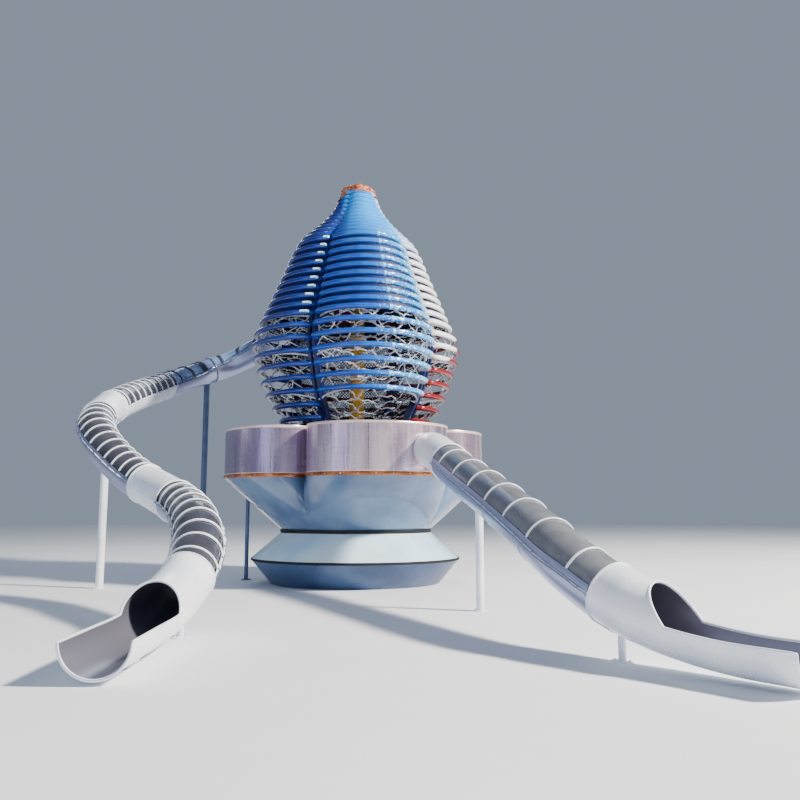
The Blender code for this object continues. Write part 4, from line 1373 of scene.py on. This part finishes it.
@dataclass
class SlideLine:
    """A slide's middle line, along which straight forms are bent."""

    points: tuple[Point, ...]
    samples: int = 24
    line: list[Vector] = field(default_factory=list)
    marks: list[float] = field(default_factory=list)

    def __post_init__(self) -> None:
        """Work out the smooth line and the distance along it."""
        knots = [2 * Vector(self.points[0]) - Vector(self.points[1])] + [Vector(p) for p in self.points]
        knots.append(2 * knots[-1] - knots[-2])
        for p0, p1, p2, p3 in zip(knots, knots[1:], knots[2:], knots[3:]):
            t1 = (p1 - p0).length ** 0.5
            t2 = t1 + (p2 - p1).length ** 0.5
            t3 = t2 + (p3 - p2).length ** 0.5
            for k in range(self.samples):
                t = t1 + (t2 - t1) * k / self.samples
                a1 = p0.lerp(p1, t / t1)
                a2 = p1.lerp(p2, (t - t1) / (t2 - t1))
                a3 = p2.lerp(p3, (t - t2) / (t3 - t2))
                b1, b2 = a1.lerp(a2, t / t2), a2.lerp(a3, (t - t1) / (t3 - t1))
                self.line.append(b1.lerp(b2, (t - t1) / (t2 - t1)))
        self.line.append(knots[-2])
        self.marks.append(0.0)
        for before, after in zip(self.line, self.line[1:]):
            self.marks.append(self.marks[-1] + (after - before).length)

    @property
    def length(self) -> float:
        """The line's length in metres."""
        return self.marks[-1]

    def at(self, distance: float) -> Vector:
        """The line's point at a distance along it, or straight on past its ends."""
        last = len(self.marks) - 2
        k = next((n for n in range(last, -1, -1) if self.marks[n] <= distance), 0)
        share = (distance - self.marks[k]) / (self.marks[k + 1] - self.marks[k])
        return self.line[k] + (self.line[k + 1] - self.line[k]) * share

    def place(self, along: float, left: float, up: float) -> Vector:
        """Where a point of the straight form lies once it is bent.

        Args:
            along: distance along the slide.
            left: distance to the left of the middle line, looking down the slide.
            up: distance above the middle line, square to it.

        Returns:
            The bent point.
        """
        ahead = self.at(along + 0.05) - self.at(along - 0.05)
        side = UP.cross(ahead).normalized()
        return self.at(along) + side * left + ahead.cross(side).normalized() * up

    def round_point(self, along: float, angle: float, radius: float) -> Vector:
        """A point round the tube: angle 0 is its left edge and a quarter turn its top."""
        return self.place(along, radius * math.cos(angle), radius * math.sin(angle))

    def bend(self, thing: Thing) -> None:
        """Bend a straight form, which lies along X, to the slide's line.

        Args:
            thing: the straight form, with X as the distance along the slide.
        """
        for vertex in thing.data.vertices:
            vertex.co = self.place(*vertex.co)

    def rod(self, start: float, end: float, radius: float) -> Thing:
        """A solid rod along the slide, to cut the slide's way through another piece.

        Args:
            start: where it starts along the slide; it begins a little ahead of it.
            end: where it ends.
            radius: its radius.

        Returns:
            The rod.
        """
        rod = TubeForm(start - 0.3, end, radius).sheet("rod", all_round, WIDE_PITCH)
        close_ends(rod)
        self.bend(rod)
        return rod

    def sheet(
        self, form: "TubeForm", name: str, kept: Callable[[float], bool], thickness: float, **drawing: object
    ) -> Thing:
        """A bent sheet of the slide: drawn out straight, thickened, unrolled and bent to the line.

        Args:
            form: its straight form.
            name: the piece's name.
            kept: tells from an angle in degrees whether the sheet is there.
            thickness: its thickness, half to each side.
            **drawing: what else the form's sheet takes.

        Returns:
            The sheet.
        """
        sheet = form.sheet(name, kept, **drawing)
        thicken(sheet, thickness)
        form.unroll(sheet)
        self.bend(sheet)
        return sheet


LONG_LINE = SlideLine(
    (
        (-0.90, 1.40, 6.85), (-1.50, 2.30, 6.82), (-2.25, 3.30, 6.68),
        (-3.05, 4.05, 6.37), (-3.85, 4.25, 6.02), (-4.55, 3.85, 5.68),
        (-5.05, 2.80, 5.25), (-5.37, 1.34, 4.78), (-5.55, -0.40, 4.27),
        (-5.58, -1.75, 3.82), (-5.40, -2.75, 3.40), (-5.02, -3.38, 2.98),
        (-4.52, -3.85, 2.56), (-3.98, -4.33, 2.22), (-3.40, -4.98, 1.96),
        (-2.86, -5.85, 1.73), (-2.48, -6.81, 1.45), (-2.33, -7.43, 1.15),
        (-2.32, -8.04, 0.82), (-2.42, -8.70, 0.55), (-2.49, -9.50, 0.44),
        (-2.53, -10.50, 0.42), (-2.54, -11.40, 0.42),
    )
)
SHORT_LINE = SlideLine(
    (
        (1.50, -1.85, 2.97), (1.53, -2.40, 2.97), (1.56, -2.90, 2.95),
        (1.62, -3.35, 2.87), (1.89, -4.84, 2.43), (2.26, -7.16, 1.80),
        (2.50, -8.80, 1.34), (2.66, -9.60, 1.06), (2.88, -10.10, 0.82),
        (3.05, -10.45, 0.68), (3.30, -10.85, 0.55), (3.75, -11.50, 0.44),
        (4.25, -12.20, 0.42),
    )
)


@dataclass
class TubeForm:
    """A straight stretch of tube along X, before it is bent to its slide's line."""

    start: float
    end: float
    radius: float = TUBE
    sides: int = 64

    def profile(self, name: str, kept: Callable[[float], bool]) -> Thing:
        """The tube's section at its start, as a ring or part of one.

        Args:
            name: the object's name.
            kept: tells from a corner's angle whether it is in the section.

        Returns:
            The section.
        """
        deselect()
        bpy.ops.mesh.primitive_circle_add(
            vertices=self.sides, radius=self.radius, location=(self.start, 0, 0), rotation=(0, math.pi / 2, 0)
        )
        ring = bpy.context.object
        ring.name = name
        settle()
        edit(ring, lambda co: not kept(math.degrees(math.atan2(co.z, co.y))))
        bpy.ops.mesh.delete(type="VERT")
        done_editing()
        return ring

    def draw_out(self, section: Thing, pitch: float) -> None:
        """Draw a section out to the form's end in even steps.

        Args:
            section: the section at the start.
            pitch: about how long each step is.
        """
        steps = max(1, round((self.end - self.start) / pitch))
        step = (self.end - self.start) / steps
        edit(section)
        bpy.ops.mesh.extrude_region_move(TRANSFORM_OT_translate={"value": (step, 0, 0)})
        done_editing()
        repeat(section, steps, step, use_merge_vertices=True, merge_threshold=0.0005)

    def sheet(
        self, name: str, kept: Callable[[float], bool], pitch: float = PITCH, lips: bool = False
    ) -> Thing:
        """A bent sheet without thickness.

        Args:
            name: the object's name.
            kept: tells from an angle in degrees whether the sheet is there.
            pitch: about how long each step is.
            lips: fold its edges outward.

        Returns:
            The sheet.
        """
        section = self.profile(name, kept)
        if lips:
            for side in (-1, 1):
                edit(section, lambda co: co.z > -0.001 and co.y * side > 0)
                bpy.ops.mesh.extrude_region_move(TRANSFORM_OT_translate={"value": (0, side * LIP, 0)})
                bpy.ops.mesh.extrude_region_move(TRANSFORM_OT_translate={"value": (0, 0, -0.016)})
                done_editing()
        self.draw_out(section, pitch)
        return section

    def unroll(self, thing: Thing) -> None:
        """Give a straight form a UV map: distance along, and round the tube, in metres.

        Args:
            thing: the straight form.
        """
        mesh = thing.data
        layer = mesh.uv_layers.new(name="unrolled")
        for face in mesh.polygons:
            base = math.atan2(face.center.z, face.center.y)
            for loop in face.loop_indices:
                co = mesh.vertices[mesh.loops[loop].vertex_index].co
                angle = base + math.remainder(math.atan2(co.z, co.y) - base, 2 * math.pi)
                layer.data[loop].uv = (co.x, angle * self.radius)


def thicken(thing: Thing, thickness: float) -> None:
    """Give a sheet its thickness, half to each side."""
    modify(thing, "SOLIDIFY", thickness=thickness, offset=0.0, use_even_offset=True)


def soften(thing: Thing) -> None:
    """Round a steel plate's sharp edges a little."""
    modify(thing, "BEVEL", width=0.003, segments=2, limit_method="ANGLE")


def all_round(angle: float) -> bool:
    """Keeps the whole of a tube's section."""
    return True


def under(angle: float) -> bool:
    """Whether an angle in degrees lies in the lower half of the tube."""
    return angle <= 0.01 or angle > 179.9


def torus(along: float, radius: float, thickness: float) -> Thing:
    """A ring round the straight form's middle line, selected and settled.

    Args:
        along: its place along the slide.
        radius: the radius of its own middle line.
        thickness: the radius of its section.

    Returns:
        The ring.
    """
    deselect()
    bpy.ops.mesh.primitive_torus_add(
        location=(along, 0, 0), rotation=(0, math.pi / 2, 0), major_segments=64, minor_segments=10,
        major_radius=radius, minor_radius=thickness,
    )
    return bpy.context.object


@dataclass
class Hooping:
    """The hoops over one clear cover."""

    count: int
    width: float = 0.045
    height: float = 0.016
    finish: Finish = WHITE_PLASTIC
    feet: bool = True
    rise: float = 0.0
    foot_reach: float = 0.05
    foot_height: float = 0.014


@dataclass
class Section:
    """One clear-covered section: trough, cover, hoops, rails and lip bolts."""

    name: str
    start: float
    end: float
    trough: Finish
    cover: Finish
    hooping: Hooping
    rail: Finish = WHITE_PLASTIC
    trough_sheets: int = 1
    cover_sheets: int = 1
    rail_width: float = 0.055
    rail_height: float = 0.018
    bolt_pitch: float = 0.3
    bolt_size: float = 0.020

    def nodes(self, kind: str, sheets: int) -> list[str]:
        """The CAD nodes of the trough or the cover, one for each sheet.

        Args:
            kind: "trough" or "cover".
            sheets: how many sheets it has.

        Returns:
            The nodes' names.
        """
        if sheets == 1:
            return [f"{self.name}_{kind}"]
        return [f"{self.name}_{kind}_{number + 1}" for number in range(sheets)]

    def build(self, line: SlideLine) -> None:
        """Build and dress the section.

        Args:
            line: the slide's line.
        """
        form = TubeForm(self.start, self.end, TUBE - SHEET / 2)
        trough = line.sheet(form, f"{self.name}_half_pipe", under, SHEET, lips=True)
        hand_over(trough, self.trough, self.nodes("trough", self.trough_sheets))
        form = TubeForm(self.start, self.end, UNDER_COVER)
        cover = line.sheet(form, f"{self.name}_clear_sheet", lambda angle: 2 < angle < 178, COVER)
        hand_over(cover, self.cover, self.nodes("cover", self.cover_sheets))
        self.build_hoops(line)
        self.build_rails(line)
        self.build_bolts(line)
        if self.hooping.rise:
            self.build_sides(line)

    def build_sides(self, line: SlideLine) -> None:
        """The sides that stand above the trough's lips, outside the cover."""
        form = TubeForm(self.start + 0.02, self.end - 0.02, TUBE - SHELL)
        top = math.degrees(math.asin(self.hooping.rise / TUBE)) + 0.5

        def side(angle: float) -> bool:
            """Whether an angle lies between a lip and the top of the side."""
            return -0.1 < min(angle, 180 - angle) < top

        sides = line.sheet(form, f"{self.name}_side_sheets", side, SHELL)
        hand_over(sides, self.trough)

    def build_hoops(self, line: SlideLine) -> None:
        """The hoops, with feet where they have them."""
        hoops = self.hooping
        pitch = (self.end - self.start) / hoops.count
        middle = self.start + pitch / 2
        hoop = torus(middle, TUBE - 0.010, hoops.height)
        hoop.scale = (1, 1, hoops.width / (2 * hoops.height))
        settle()
        edit(hoop)
        low = (0, 0, 0.004 + hoops.rise)
        bpy.ops.mesh.bisect(plane_co=low, plane_no=(0, 0, 1), clear_inner=True, use_fill=True)
        done_editing()
        fittings = [hoop]
        for side in (-1, 1) if hoops.feet else ():
            place = (middle, side * (TUBE + 0.012), hoops.foot_height)
            bpy.ops.mesh.primitive_cube_add(size=1, location=place)
            foot = bpy.context.object
            foot.scale = (hoops.width * 1.5, hoops.foot_reach, hoops.foot_height)
            settle()
            modify(foot, "BEVEL", width=0.004, segments=2)
            fittings.append(foot)
        unit = join(fittings, f"{self.name}_hoop_set")
        repeat(unit, hoops.count, pitch)
        line.bend(unit)
        hand_over(unit, hoops.finish, (f"{self.name}_hoops",), angle=50)

    def build_rails(self, line: SlideLine) -> None:
        """The clamping rails along both lips."""
        rails = []
        for side in (-1, 1):
            deselect()
            bpy.ops.mesh.primitive_circle_add(
                vertices=4, radius=0.5, location=(self.start, side * (TUBE + 0.006), 0.013),
                rotation=(math.radians(45), math.pi / 2, 0),
            )
            rail = bpy.context.object
            bpy.ops.object.transform_apply(location=False, rotation=True, scale=False)
            rail.scale = (1, self.rail_width, self.rail_height)
            settle()
            TubeForm(self.start, self.end).draw_out(rail, PITCH)
            close_ends(rail)
            rails.append(rail)
        both = join(rails, f"{self.name}_rails")
        line.bend(both)
        hand_over(both, self.rail)

    def build_bolts(self, line: SlideLine) -> None:
        """The bolts that hold the rails."""
        count = max(2, round((self.end - self.start) / self.bolt_pitch))
        pitch = (self.end - self.start) / count
        bolts = []
        for side in (-1, 1):
            place = Vector((self.start + pitch / 2, side * (TUBE + 0.020), 0.021))
            bolts.append(hex_bolt(place, UP, self.bolt_size))
            repeat(bolts[-1], count, pitch)
        row = join(bolts, f"{self.name}_lip_bolts")
        line.bend(row)
        hand_over(row, BOLT_ZINC)


def flange(line: SlideLine, along: float, name: str, proud: float = 0.03) -> None:
    """A bolted pair of ring plates where two steel sections meet.

    Args:
        line: the slide's line.
        along: where the sections meet.
        name: the piece's name.
        proud: how far the rings stand out from the tube.
    """
    half, offset, lap = 0.007, 0.009, 0.004
    bolts, bolt_size, ahead = 12, 0.016, Vector((1, 0, 0))
    parts = []
    for side in (-1, 1):
        middle = along + side * offset
        form = TubeForm(middle - half, middle + half, TUBE + proud / 2 - lap)
        ring = form.sheet("ring", all_round, 2 * half)
        thicken(ring, proud + lap)
        soften(ring)
        parts.append(ring)
    for k in range(bolts):
        angle = 2 * math.pi * (k + 0.5) / bolts
        reach = TUBE + proud * 0.6
        centre = Vector((along + half + offset, reach * math.cos(angle), reach * math.sin(angle)))
        parts.append(hex_bolt(centre, ahead, bolt_size))
    rings = join(parts, name)
    line.bend(rings)
    hand_over(rings, CHUTE_STEEL)


def solid_tube(line: SlideLine, name: str, start: float, end: float, finish: Finish, node: str) -> None:
    """A full tube section with rounded collars and a brushed bore.

    Args:
        line: the slide's line.
        name: the piece's name.
        start: where it starts.
        end: where it ends.
        finish: the shell's finish.
        node: the CAD node that it stands for.
    """
    form = TubeForm(start, end, TUBE - SHELL / 2)
    shell = form.sheet(name, all_round)
    thicken(shell, SHELL)
    form.unroll(shell)
    collars = [shell]
    for place in (start + 0.02, end - 0.02):
        collars.append(torus(place, TUBE + 0.002, COLLAR))
        settle()
    whole = join(collars, name)
    line.bend(whole)
    hand_over(whole, finish, (node,), angle=50)
    bore = TubeForm(start + 0.002, end - 0.002, BORE)
    hand_over(line.sheet(bore, f"{name}_bore", all_round, LINING), BORE_STEEL)


def raked_end(line: SlideLine, name: str, start: float, mouth: float, rake: float, node: str) -> None:
    """The last section: a full tube, a raked mouth with a rolled rim and an open trough.

    Args:
        line: the slide's line.
        name: the piece's name.
        start: where it starts.
        mouth: where the mouth's top is.
        rake: how far beyond it the mouth's foot is.
        node: the CAD node that it stands for.
    """
    foot = mouth + rake

    def raked(radius: float, label: str, thickness: float) -> Thing:
        """A tube of one radius with the mouth cut out of it."""
        form = TubeForm(start, line.length, radius)
        tube = form.sheet(label, all_round, 0.06)
        edit(tube)
        bpy.ops.mesh.bisect(plane_co=(foot, 0, 0), plane_no=(TUBE, 0, rake))
        bpy.ops.mesh.select_mode(type="FACE")
        bpy.ops.mesh.select_all(action="DESELECT")
        done_editing()
        for face in tube.data.polygons:
            x, _, z = face.center
            face.select = z > 0 and (x - mouth - rake) * TUBE + z * rake > 0
        bpy.ops.object.mode_set(mode="EDIT")
        bpy.ops.mesh.delete(type="FACE")
        done_editing()
        thicken(tube, thickness)
        form.unroll(tube)
        line.bend(tube)
        return tube

    shell = raked(TUBE - SHELL / 2, f"{name}_shell", SHELL)
    last = line.length - RIM
    round_steps, straight_steps = 48, 30
    turns = [math.pi * k / round_steps for k in range(round_steps + 1)]
    arch = [(mouth + rake * (1 - math.sin(turn)), turn) for turn in turns]
    edge = [
        (foot + (last - mouth - rake) * k / straight_steps, math.pi) for k in range(1, straight_steps + 1)
    ]
    lip = [(last, math.pi + turn) for turn in turns[1:]]
    back = [(along, 2 * math.pi) for along, angle in reversed(edge[:-1])]
    loop = [line.round_point(along, angle, TUBE - 0.006) for along, angle in arch + edge + lip + back]
    rim = pipes("rim", [loop], RIM, 3, loop=True)
    collar = [line.round_point(start + 0.02, 2 * math.pi * k / 64, TUBE + 0.002) for k in range(64)]
    ring = pipes("collar", [collar], COLLAR, 3, loop=True)
    whole = join([shell, rim, ring], f"{name}_shell")
    hand_over(whole, WHITE_PLASTIC, (node,), angle=50)
    hand_over(raked(BORE, f"{name}_bore", LINING), BORE_STEEL)


@dataclass
class LongSlide:
    """The long slide from the back of the bud to the front left."""

    entry_end: float = 1.30
    windows_end: float = 7.20
    upper_end: float = 10.70
    bend_end: float = 11.80
    middle_end: float = 15.00
    joint_end: float = 16.35
    lower_end: float = 19.40
    mouth: float = 20.60
    rake: float = 0.25
    windows: int = 8
    upper_flange: float = 4.95
    blank_pane: tuple[float, float] = (5.36, 5.56)
    line = LONG_LINE

    def build(self) -> None:
        """Build and dress the whole slide."""
        line = self.line
        bars = Hooping(self.windows, width=0.03, height=0.010, finish=FRAME_DARK, feet=False)
        solid_tube(line, "long_slide_entry", 0.0, self.entry_end, CHUTE_STEEL, "left_slide_entry")
        Section(
            "left_slide_windows", self.entry_end, self.windows_end, CHUTE_STEEL, WINDOW_SHEET,
            bars, CHUTE_STEEL, trough_sheets=3, cover_sheets=3,
        ).build(line)
        self.window_frames()
        flange(line, self.upper_flange, "long_slide_upper_flange")
        flange(line, self.windows_end, "long_slide_window_flange")
        Section(
            "left_slide_upper", self.windows_end, self.upper_end, WHITE_PLASTIC, SMOKE_SHEET,
            Hooping(9, width=0.06), trough_sheets=2,
        ).build(line)
        solid_tube(line, "long_slide_bend", self.upper_end, self.bend_end, WHITE_PLASTIC, "left_slide_bend")
        Section(
            "left_slide_middle", self.bend_end, self.middle_end, CHUTE_STEEL, SMOKE_SHEET,
            Hooping(11, width=0.04, feet=False, rise=0.08),
        ).build(line)
        solid_tube(
            line, "long_slide_joint", self.middle_end, self.joint_end, WHITE_PLASTIC, "left_slide_joint"
        )
        Section(
            "left_slide_lower", self.joint_end, self.lower_end, CHUTE_STEEL, SMOKE_SHEET, Hooping(8)
        ).build(line)
        raked_end(line, "long_slide_end", self.lower_end, self.mouth, self.rake, "left_slide_end")

    def window_frames(self) -> None:
        """A dark frame round each window, and the one blanked pane."""
        pitch = (self.windows_end - self.entry_end) / self.windows
        low, high = math.radians(14), math.radians(166)
        radius = TUBE - 0.017
        frames = []
        for pane in range(self.windows):
            start = self.entry_end + pitch * (pane - 0.5) + 0.05
            last = min(start + pitch - 0.10, self.windows_end - 0.05)
            first = max(start, self.entry_end + 0.05)
            loop = [(first + (last - first) * k / 8, low) for k in range(9)]
            loop += [(last, low + (high - low) * k / 24) for k in range(1, 25)]
            loop += [(last + (first - last) * k / 8, high) for k in range(1, 9)]
            loop += [(first, high + (low - high) * k / 24) for k in range(1, 24)]
            frames.append([self.line.round_point(along, angle, radius) for along, angle in loop])
        bars = pipes("long_slide_window_frames", frames, 0.009, 2, loop=True)
        hand_over(bars, FRAME_DARK, angle=50)
        form = TubeForm(*self.blank_pane, TUBE - 0.014)
        blank = self.line.sheet(
            form, "long_slide_blank_pane", lambda angle: 6 < angle < 174, SHELL, pitch=0.05
        )
        hand_over(blank, FRAME_DARK)


@dataclass
class ShortSlide:
    """The short slide from the drum's front wall to the front right."""

    entry_end: float = 2.50
    run_end: float = 8.90
    mouth: float = 9.50
    rake: float = 0.40
    hoops: int = 7
    side_height: float = 0.105
    line = SHORT_LINE

    def build(self) -> None:
        """Build and dress the whole slide."""
        hooping = Hooping(self.hoops, width=0.036, height=0.014, feet=False, rise=self.side_height)
        solid_tube(self.line, "short_slide_elbow", 0.0, self.entry_end, WHITE_PLASTIC, "right_slide_entry")
        Section(
            "right_slide_run", self.entry_end, self.run_end, CHUTE_STEEL, CLEAR_SHEET, hooping,
            trough_sheets=2, cover_sheets=2,
        ).build(self.line)
        self.lap_seams()
        raked_end(self.line, "short_slide_end", self.run_end, self.mouth, self.rake, "right_slide_end")

    def lap_seams(self) -> None:
        """Welded laps across the trough where its sheets meet."""
        turns = [math.pi + math.pi * n / 32 for n in range(1, 32)]
        arcs = []
        for k in range(1, 4):
            along = self.entry_end + (self.run_end - self.entry_end) * k / 4
            arcs.append([self.line.round_point(along, turn, TUBE + 0.001) for turn in turns])
        hand_over(pipes("short_slide_lap_seams", arcs, 0.007, 2), CHUTE_STEEL)


@dataclass
class Support:
    """A post or leg with a bolted foot plate and, under a slide, a saddle."""

    name: str
    node: str
    foot: tuple[float, float]
    radius: float
    finish: Finish
    line: SlideLine | None = None
    top: float = 0.0
    plate: float = 0.13
    plate_height: float = 0.015
    weld: float = 0.006
    bolts: int = 4
    bolt_size: float = 0.022

    def round_foot(self, reach: float, angle: float) -> Vector:
        """A point round the foot at the plate's top."""
        x, y = self.foot
        return Vector((x + reach * math.cos(angle), y + reach * math.sin(angle), self.plate_height))

    def build(self) -> None:
        """Build and dress the support."""
        x, y = self.foot
        parts = []
        top = self.top
        if self.line:
            along = min(self.line.marks, key=lambda mark: (self.line.at(mark).xy - Vector(self.foot)).length)
            top = self.line.at(along).z - TUBE * 1.02
            parts.append(self.saddle(along))
        deselect()
        bpy.ops.mesh.primitive_cylinder_add(vertices=32, radius=self.plate, depth=self.plate_height)
        plate = bpy.context.object
        plate.location = (x, y, self.plate_height / 2)
        settle()
        soften(plate)
        parts.append(plate)
        stem = [Vector((x, y, self.plate_height)), Vector((x, y, top))]
        parts.append(pipes("stem", [stem], self.radius, 6))
        weld = [self.round_foot(self.radius, 2 * math.pi * k / 24) for k in range(24)]
        parts.append(pipes("weld", [weld], self.weld, 1, loop=True))
        reach = (self.plate + self.radius) / 2 + 0.004
        for k in range(self.bolts):
            angle = math.pi / 4 + 2 * math.pi / self.bolts * k
            parts.append(hex_bolt(self.round_foot(reach, angle), UP, self.bolt_size))
        hand_over(join(parts, self.name), self.finish, (self.node,))

    def saddle(self, along: float) -> Thing:
        """A curved plate that hugs the underside of the tube.

        Args:
            along: where the post meets the slide.

        Returns:
            The saddle.
        """
        form = TubeForm(along - 0.09, along + 0.09, TUBE + 0.007)
        saddle = form.sheet("saddle", lambda angle: -128 < angle < -52, 0.045)
        thicken(saddle, 0.010)
        self.line.bend(saddle)
        return saddle


def supports() -> list[Support]:
    """All posts and legs, where the photo shows their feet."""
    turn = math.radians(-104)
    drum_leg = polar(DRUM_RADIUS * lobe_ratio(turn) - 0.12, turn, 0)
    table = (
        ("long_slide_tall_post", "left_slide_tall_post", (-4.42, 3.98), 0.085, POST_GREY, LONG_LINE),
        ("long_slide_bend_post", "left_slide_bend_post", (-5.60, -1.38), 0.085, POST_WHITE, LONG_LINE),
        ("long_slide_end_leg", "left_slide_end_leg", (-2.35, -8.35), 0.045, POST_WHITE, LONG_LINE),
        ("long_slide_mouth_leg", "left_slide_mouth_leg", (-2.53, -10.60), 0.045, POST_WHITE, LONG_LINE),
        ("short_slide_post", "right_slide_post", (2.12, -5.75), 0.07, POST_WHITE, SHORT_LINE),
        ("short_slide_end_leg", "right_slide_end_leg", (3.02, -10.39), 0.045, POST_WHITE, SHORT_LINE),
        ("drum_leg", "deck_leg", (drum_leg.x, drum_leg.y), 0.05, POST_GREY, None, BOWL_TOP - 0.06),
    )
    return [Support(*row) for row in table]


@dataclass
class Stage:
    """A pale floor, soft studio light and the camera at the photo's viewing angle."""

    eye: Point = (0.0, -19.6, 1.70)
    pitch: float = 7.83
    yaw: float = 3.11
    lens: float = 36.0
    floor_side: float = 160.0
    sky: str = "CFE0FA"
    sky_strength: float = 0.40
    # Each lamp's name, place, side, power in watts and colour.
    lamps: tuple[tuple[str, Point, float, float, str], ...] = (
        ("key", (30.0, -17.0, 27.0), 4.0, 54000.0, "FFF6EA"),
        ("fill", (-18.0, -22.0, 9.0), 12.0, 1100.0, "D4E2FF"),
        ("rim", (-4.0, 20.0, 16.0), 9.0, 900.0, "E8F0FF"),
    )

    def build(self) -> None:
        """Set the stage."""
        self.floor()
        for lamp in self.lamps:
            self.light(*lamp)
        world = bpy.data.worlds.new("studio")
        bpy.context.scene.world = world
        world.use_nodes = True
        world.node_tree.nodes["Background"].inputs["Color"].default_value = linear(self.sky)
        world.node_tree.nodes["Background"].inputs["Strength"].default_value = self.sky_strength
        self.camera()

    def floor(self) -> None:
        """A plain pale floor."""
        deselect()
        bpy.ops.mesh.primitive_plane_add(size=self.floor_side, location=(0, 0, 0))
        floor = bpy.context.object
        floor.name = "floor"
        floor.data.materials.append(FLOOR_PAINT.material())

    def light(self, name: str, place: Point, size: float, power: float, colour: str) -> None:
        """A square soft light that faces the tower.

        Args:
            name: the light's name.
            place: where it stands.
            size: its side.
            power: its power in watts.
            colour: its colour as a hex value.
        """
        deselect()
        bpy.ops.object.light_add(type="AREA", location=place)
        lamp = bpy.context.object
        lamp.name = name
        lamp.data.size = size
        lamp.data.energy = power
        lamp.data.color = linear(colour)[:3]
        lamp.rotation_euler = (Vector((0, -2, 3)) - Vector(place)).to_track_quat("-Z", "Y").to_euler()

    def camera(self) -> None:
        """The camera where the photo was taken from."""
        deselect()
        turn = (math.radians(90 + self.pitch), 0, math.radians(-self.yaw))
        bpy.ops.object.camera_add(location=self.eye, rotation=turn)
        camera = bpy.context.object
        camera.data.lens = self.lens
        camera.data.sensor_width = 36.0
        camera.data.clip_end = 300.0
        bpy.context.scene.camera = camera


def main() -> None:
    """Build every sub-assembly and the stage around them."""
    logging.basicConfig(level=logging.INFO, format="%(name)s: %(message)s")
    for assembly in (RoundBase(), Drum(), Bud(), LongSlide(), ShortSlide()):
        log.info("building %s", type(assembly).__name__)
        assembly.build()
    for support in supports():
        support.build()
    Stage().build()


if __name__ == "__main__":
    main()
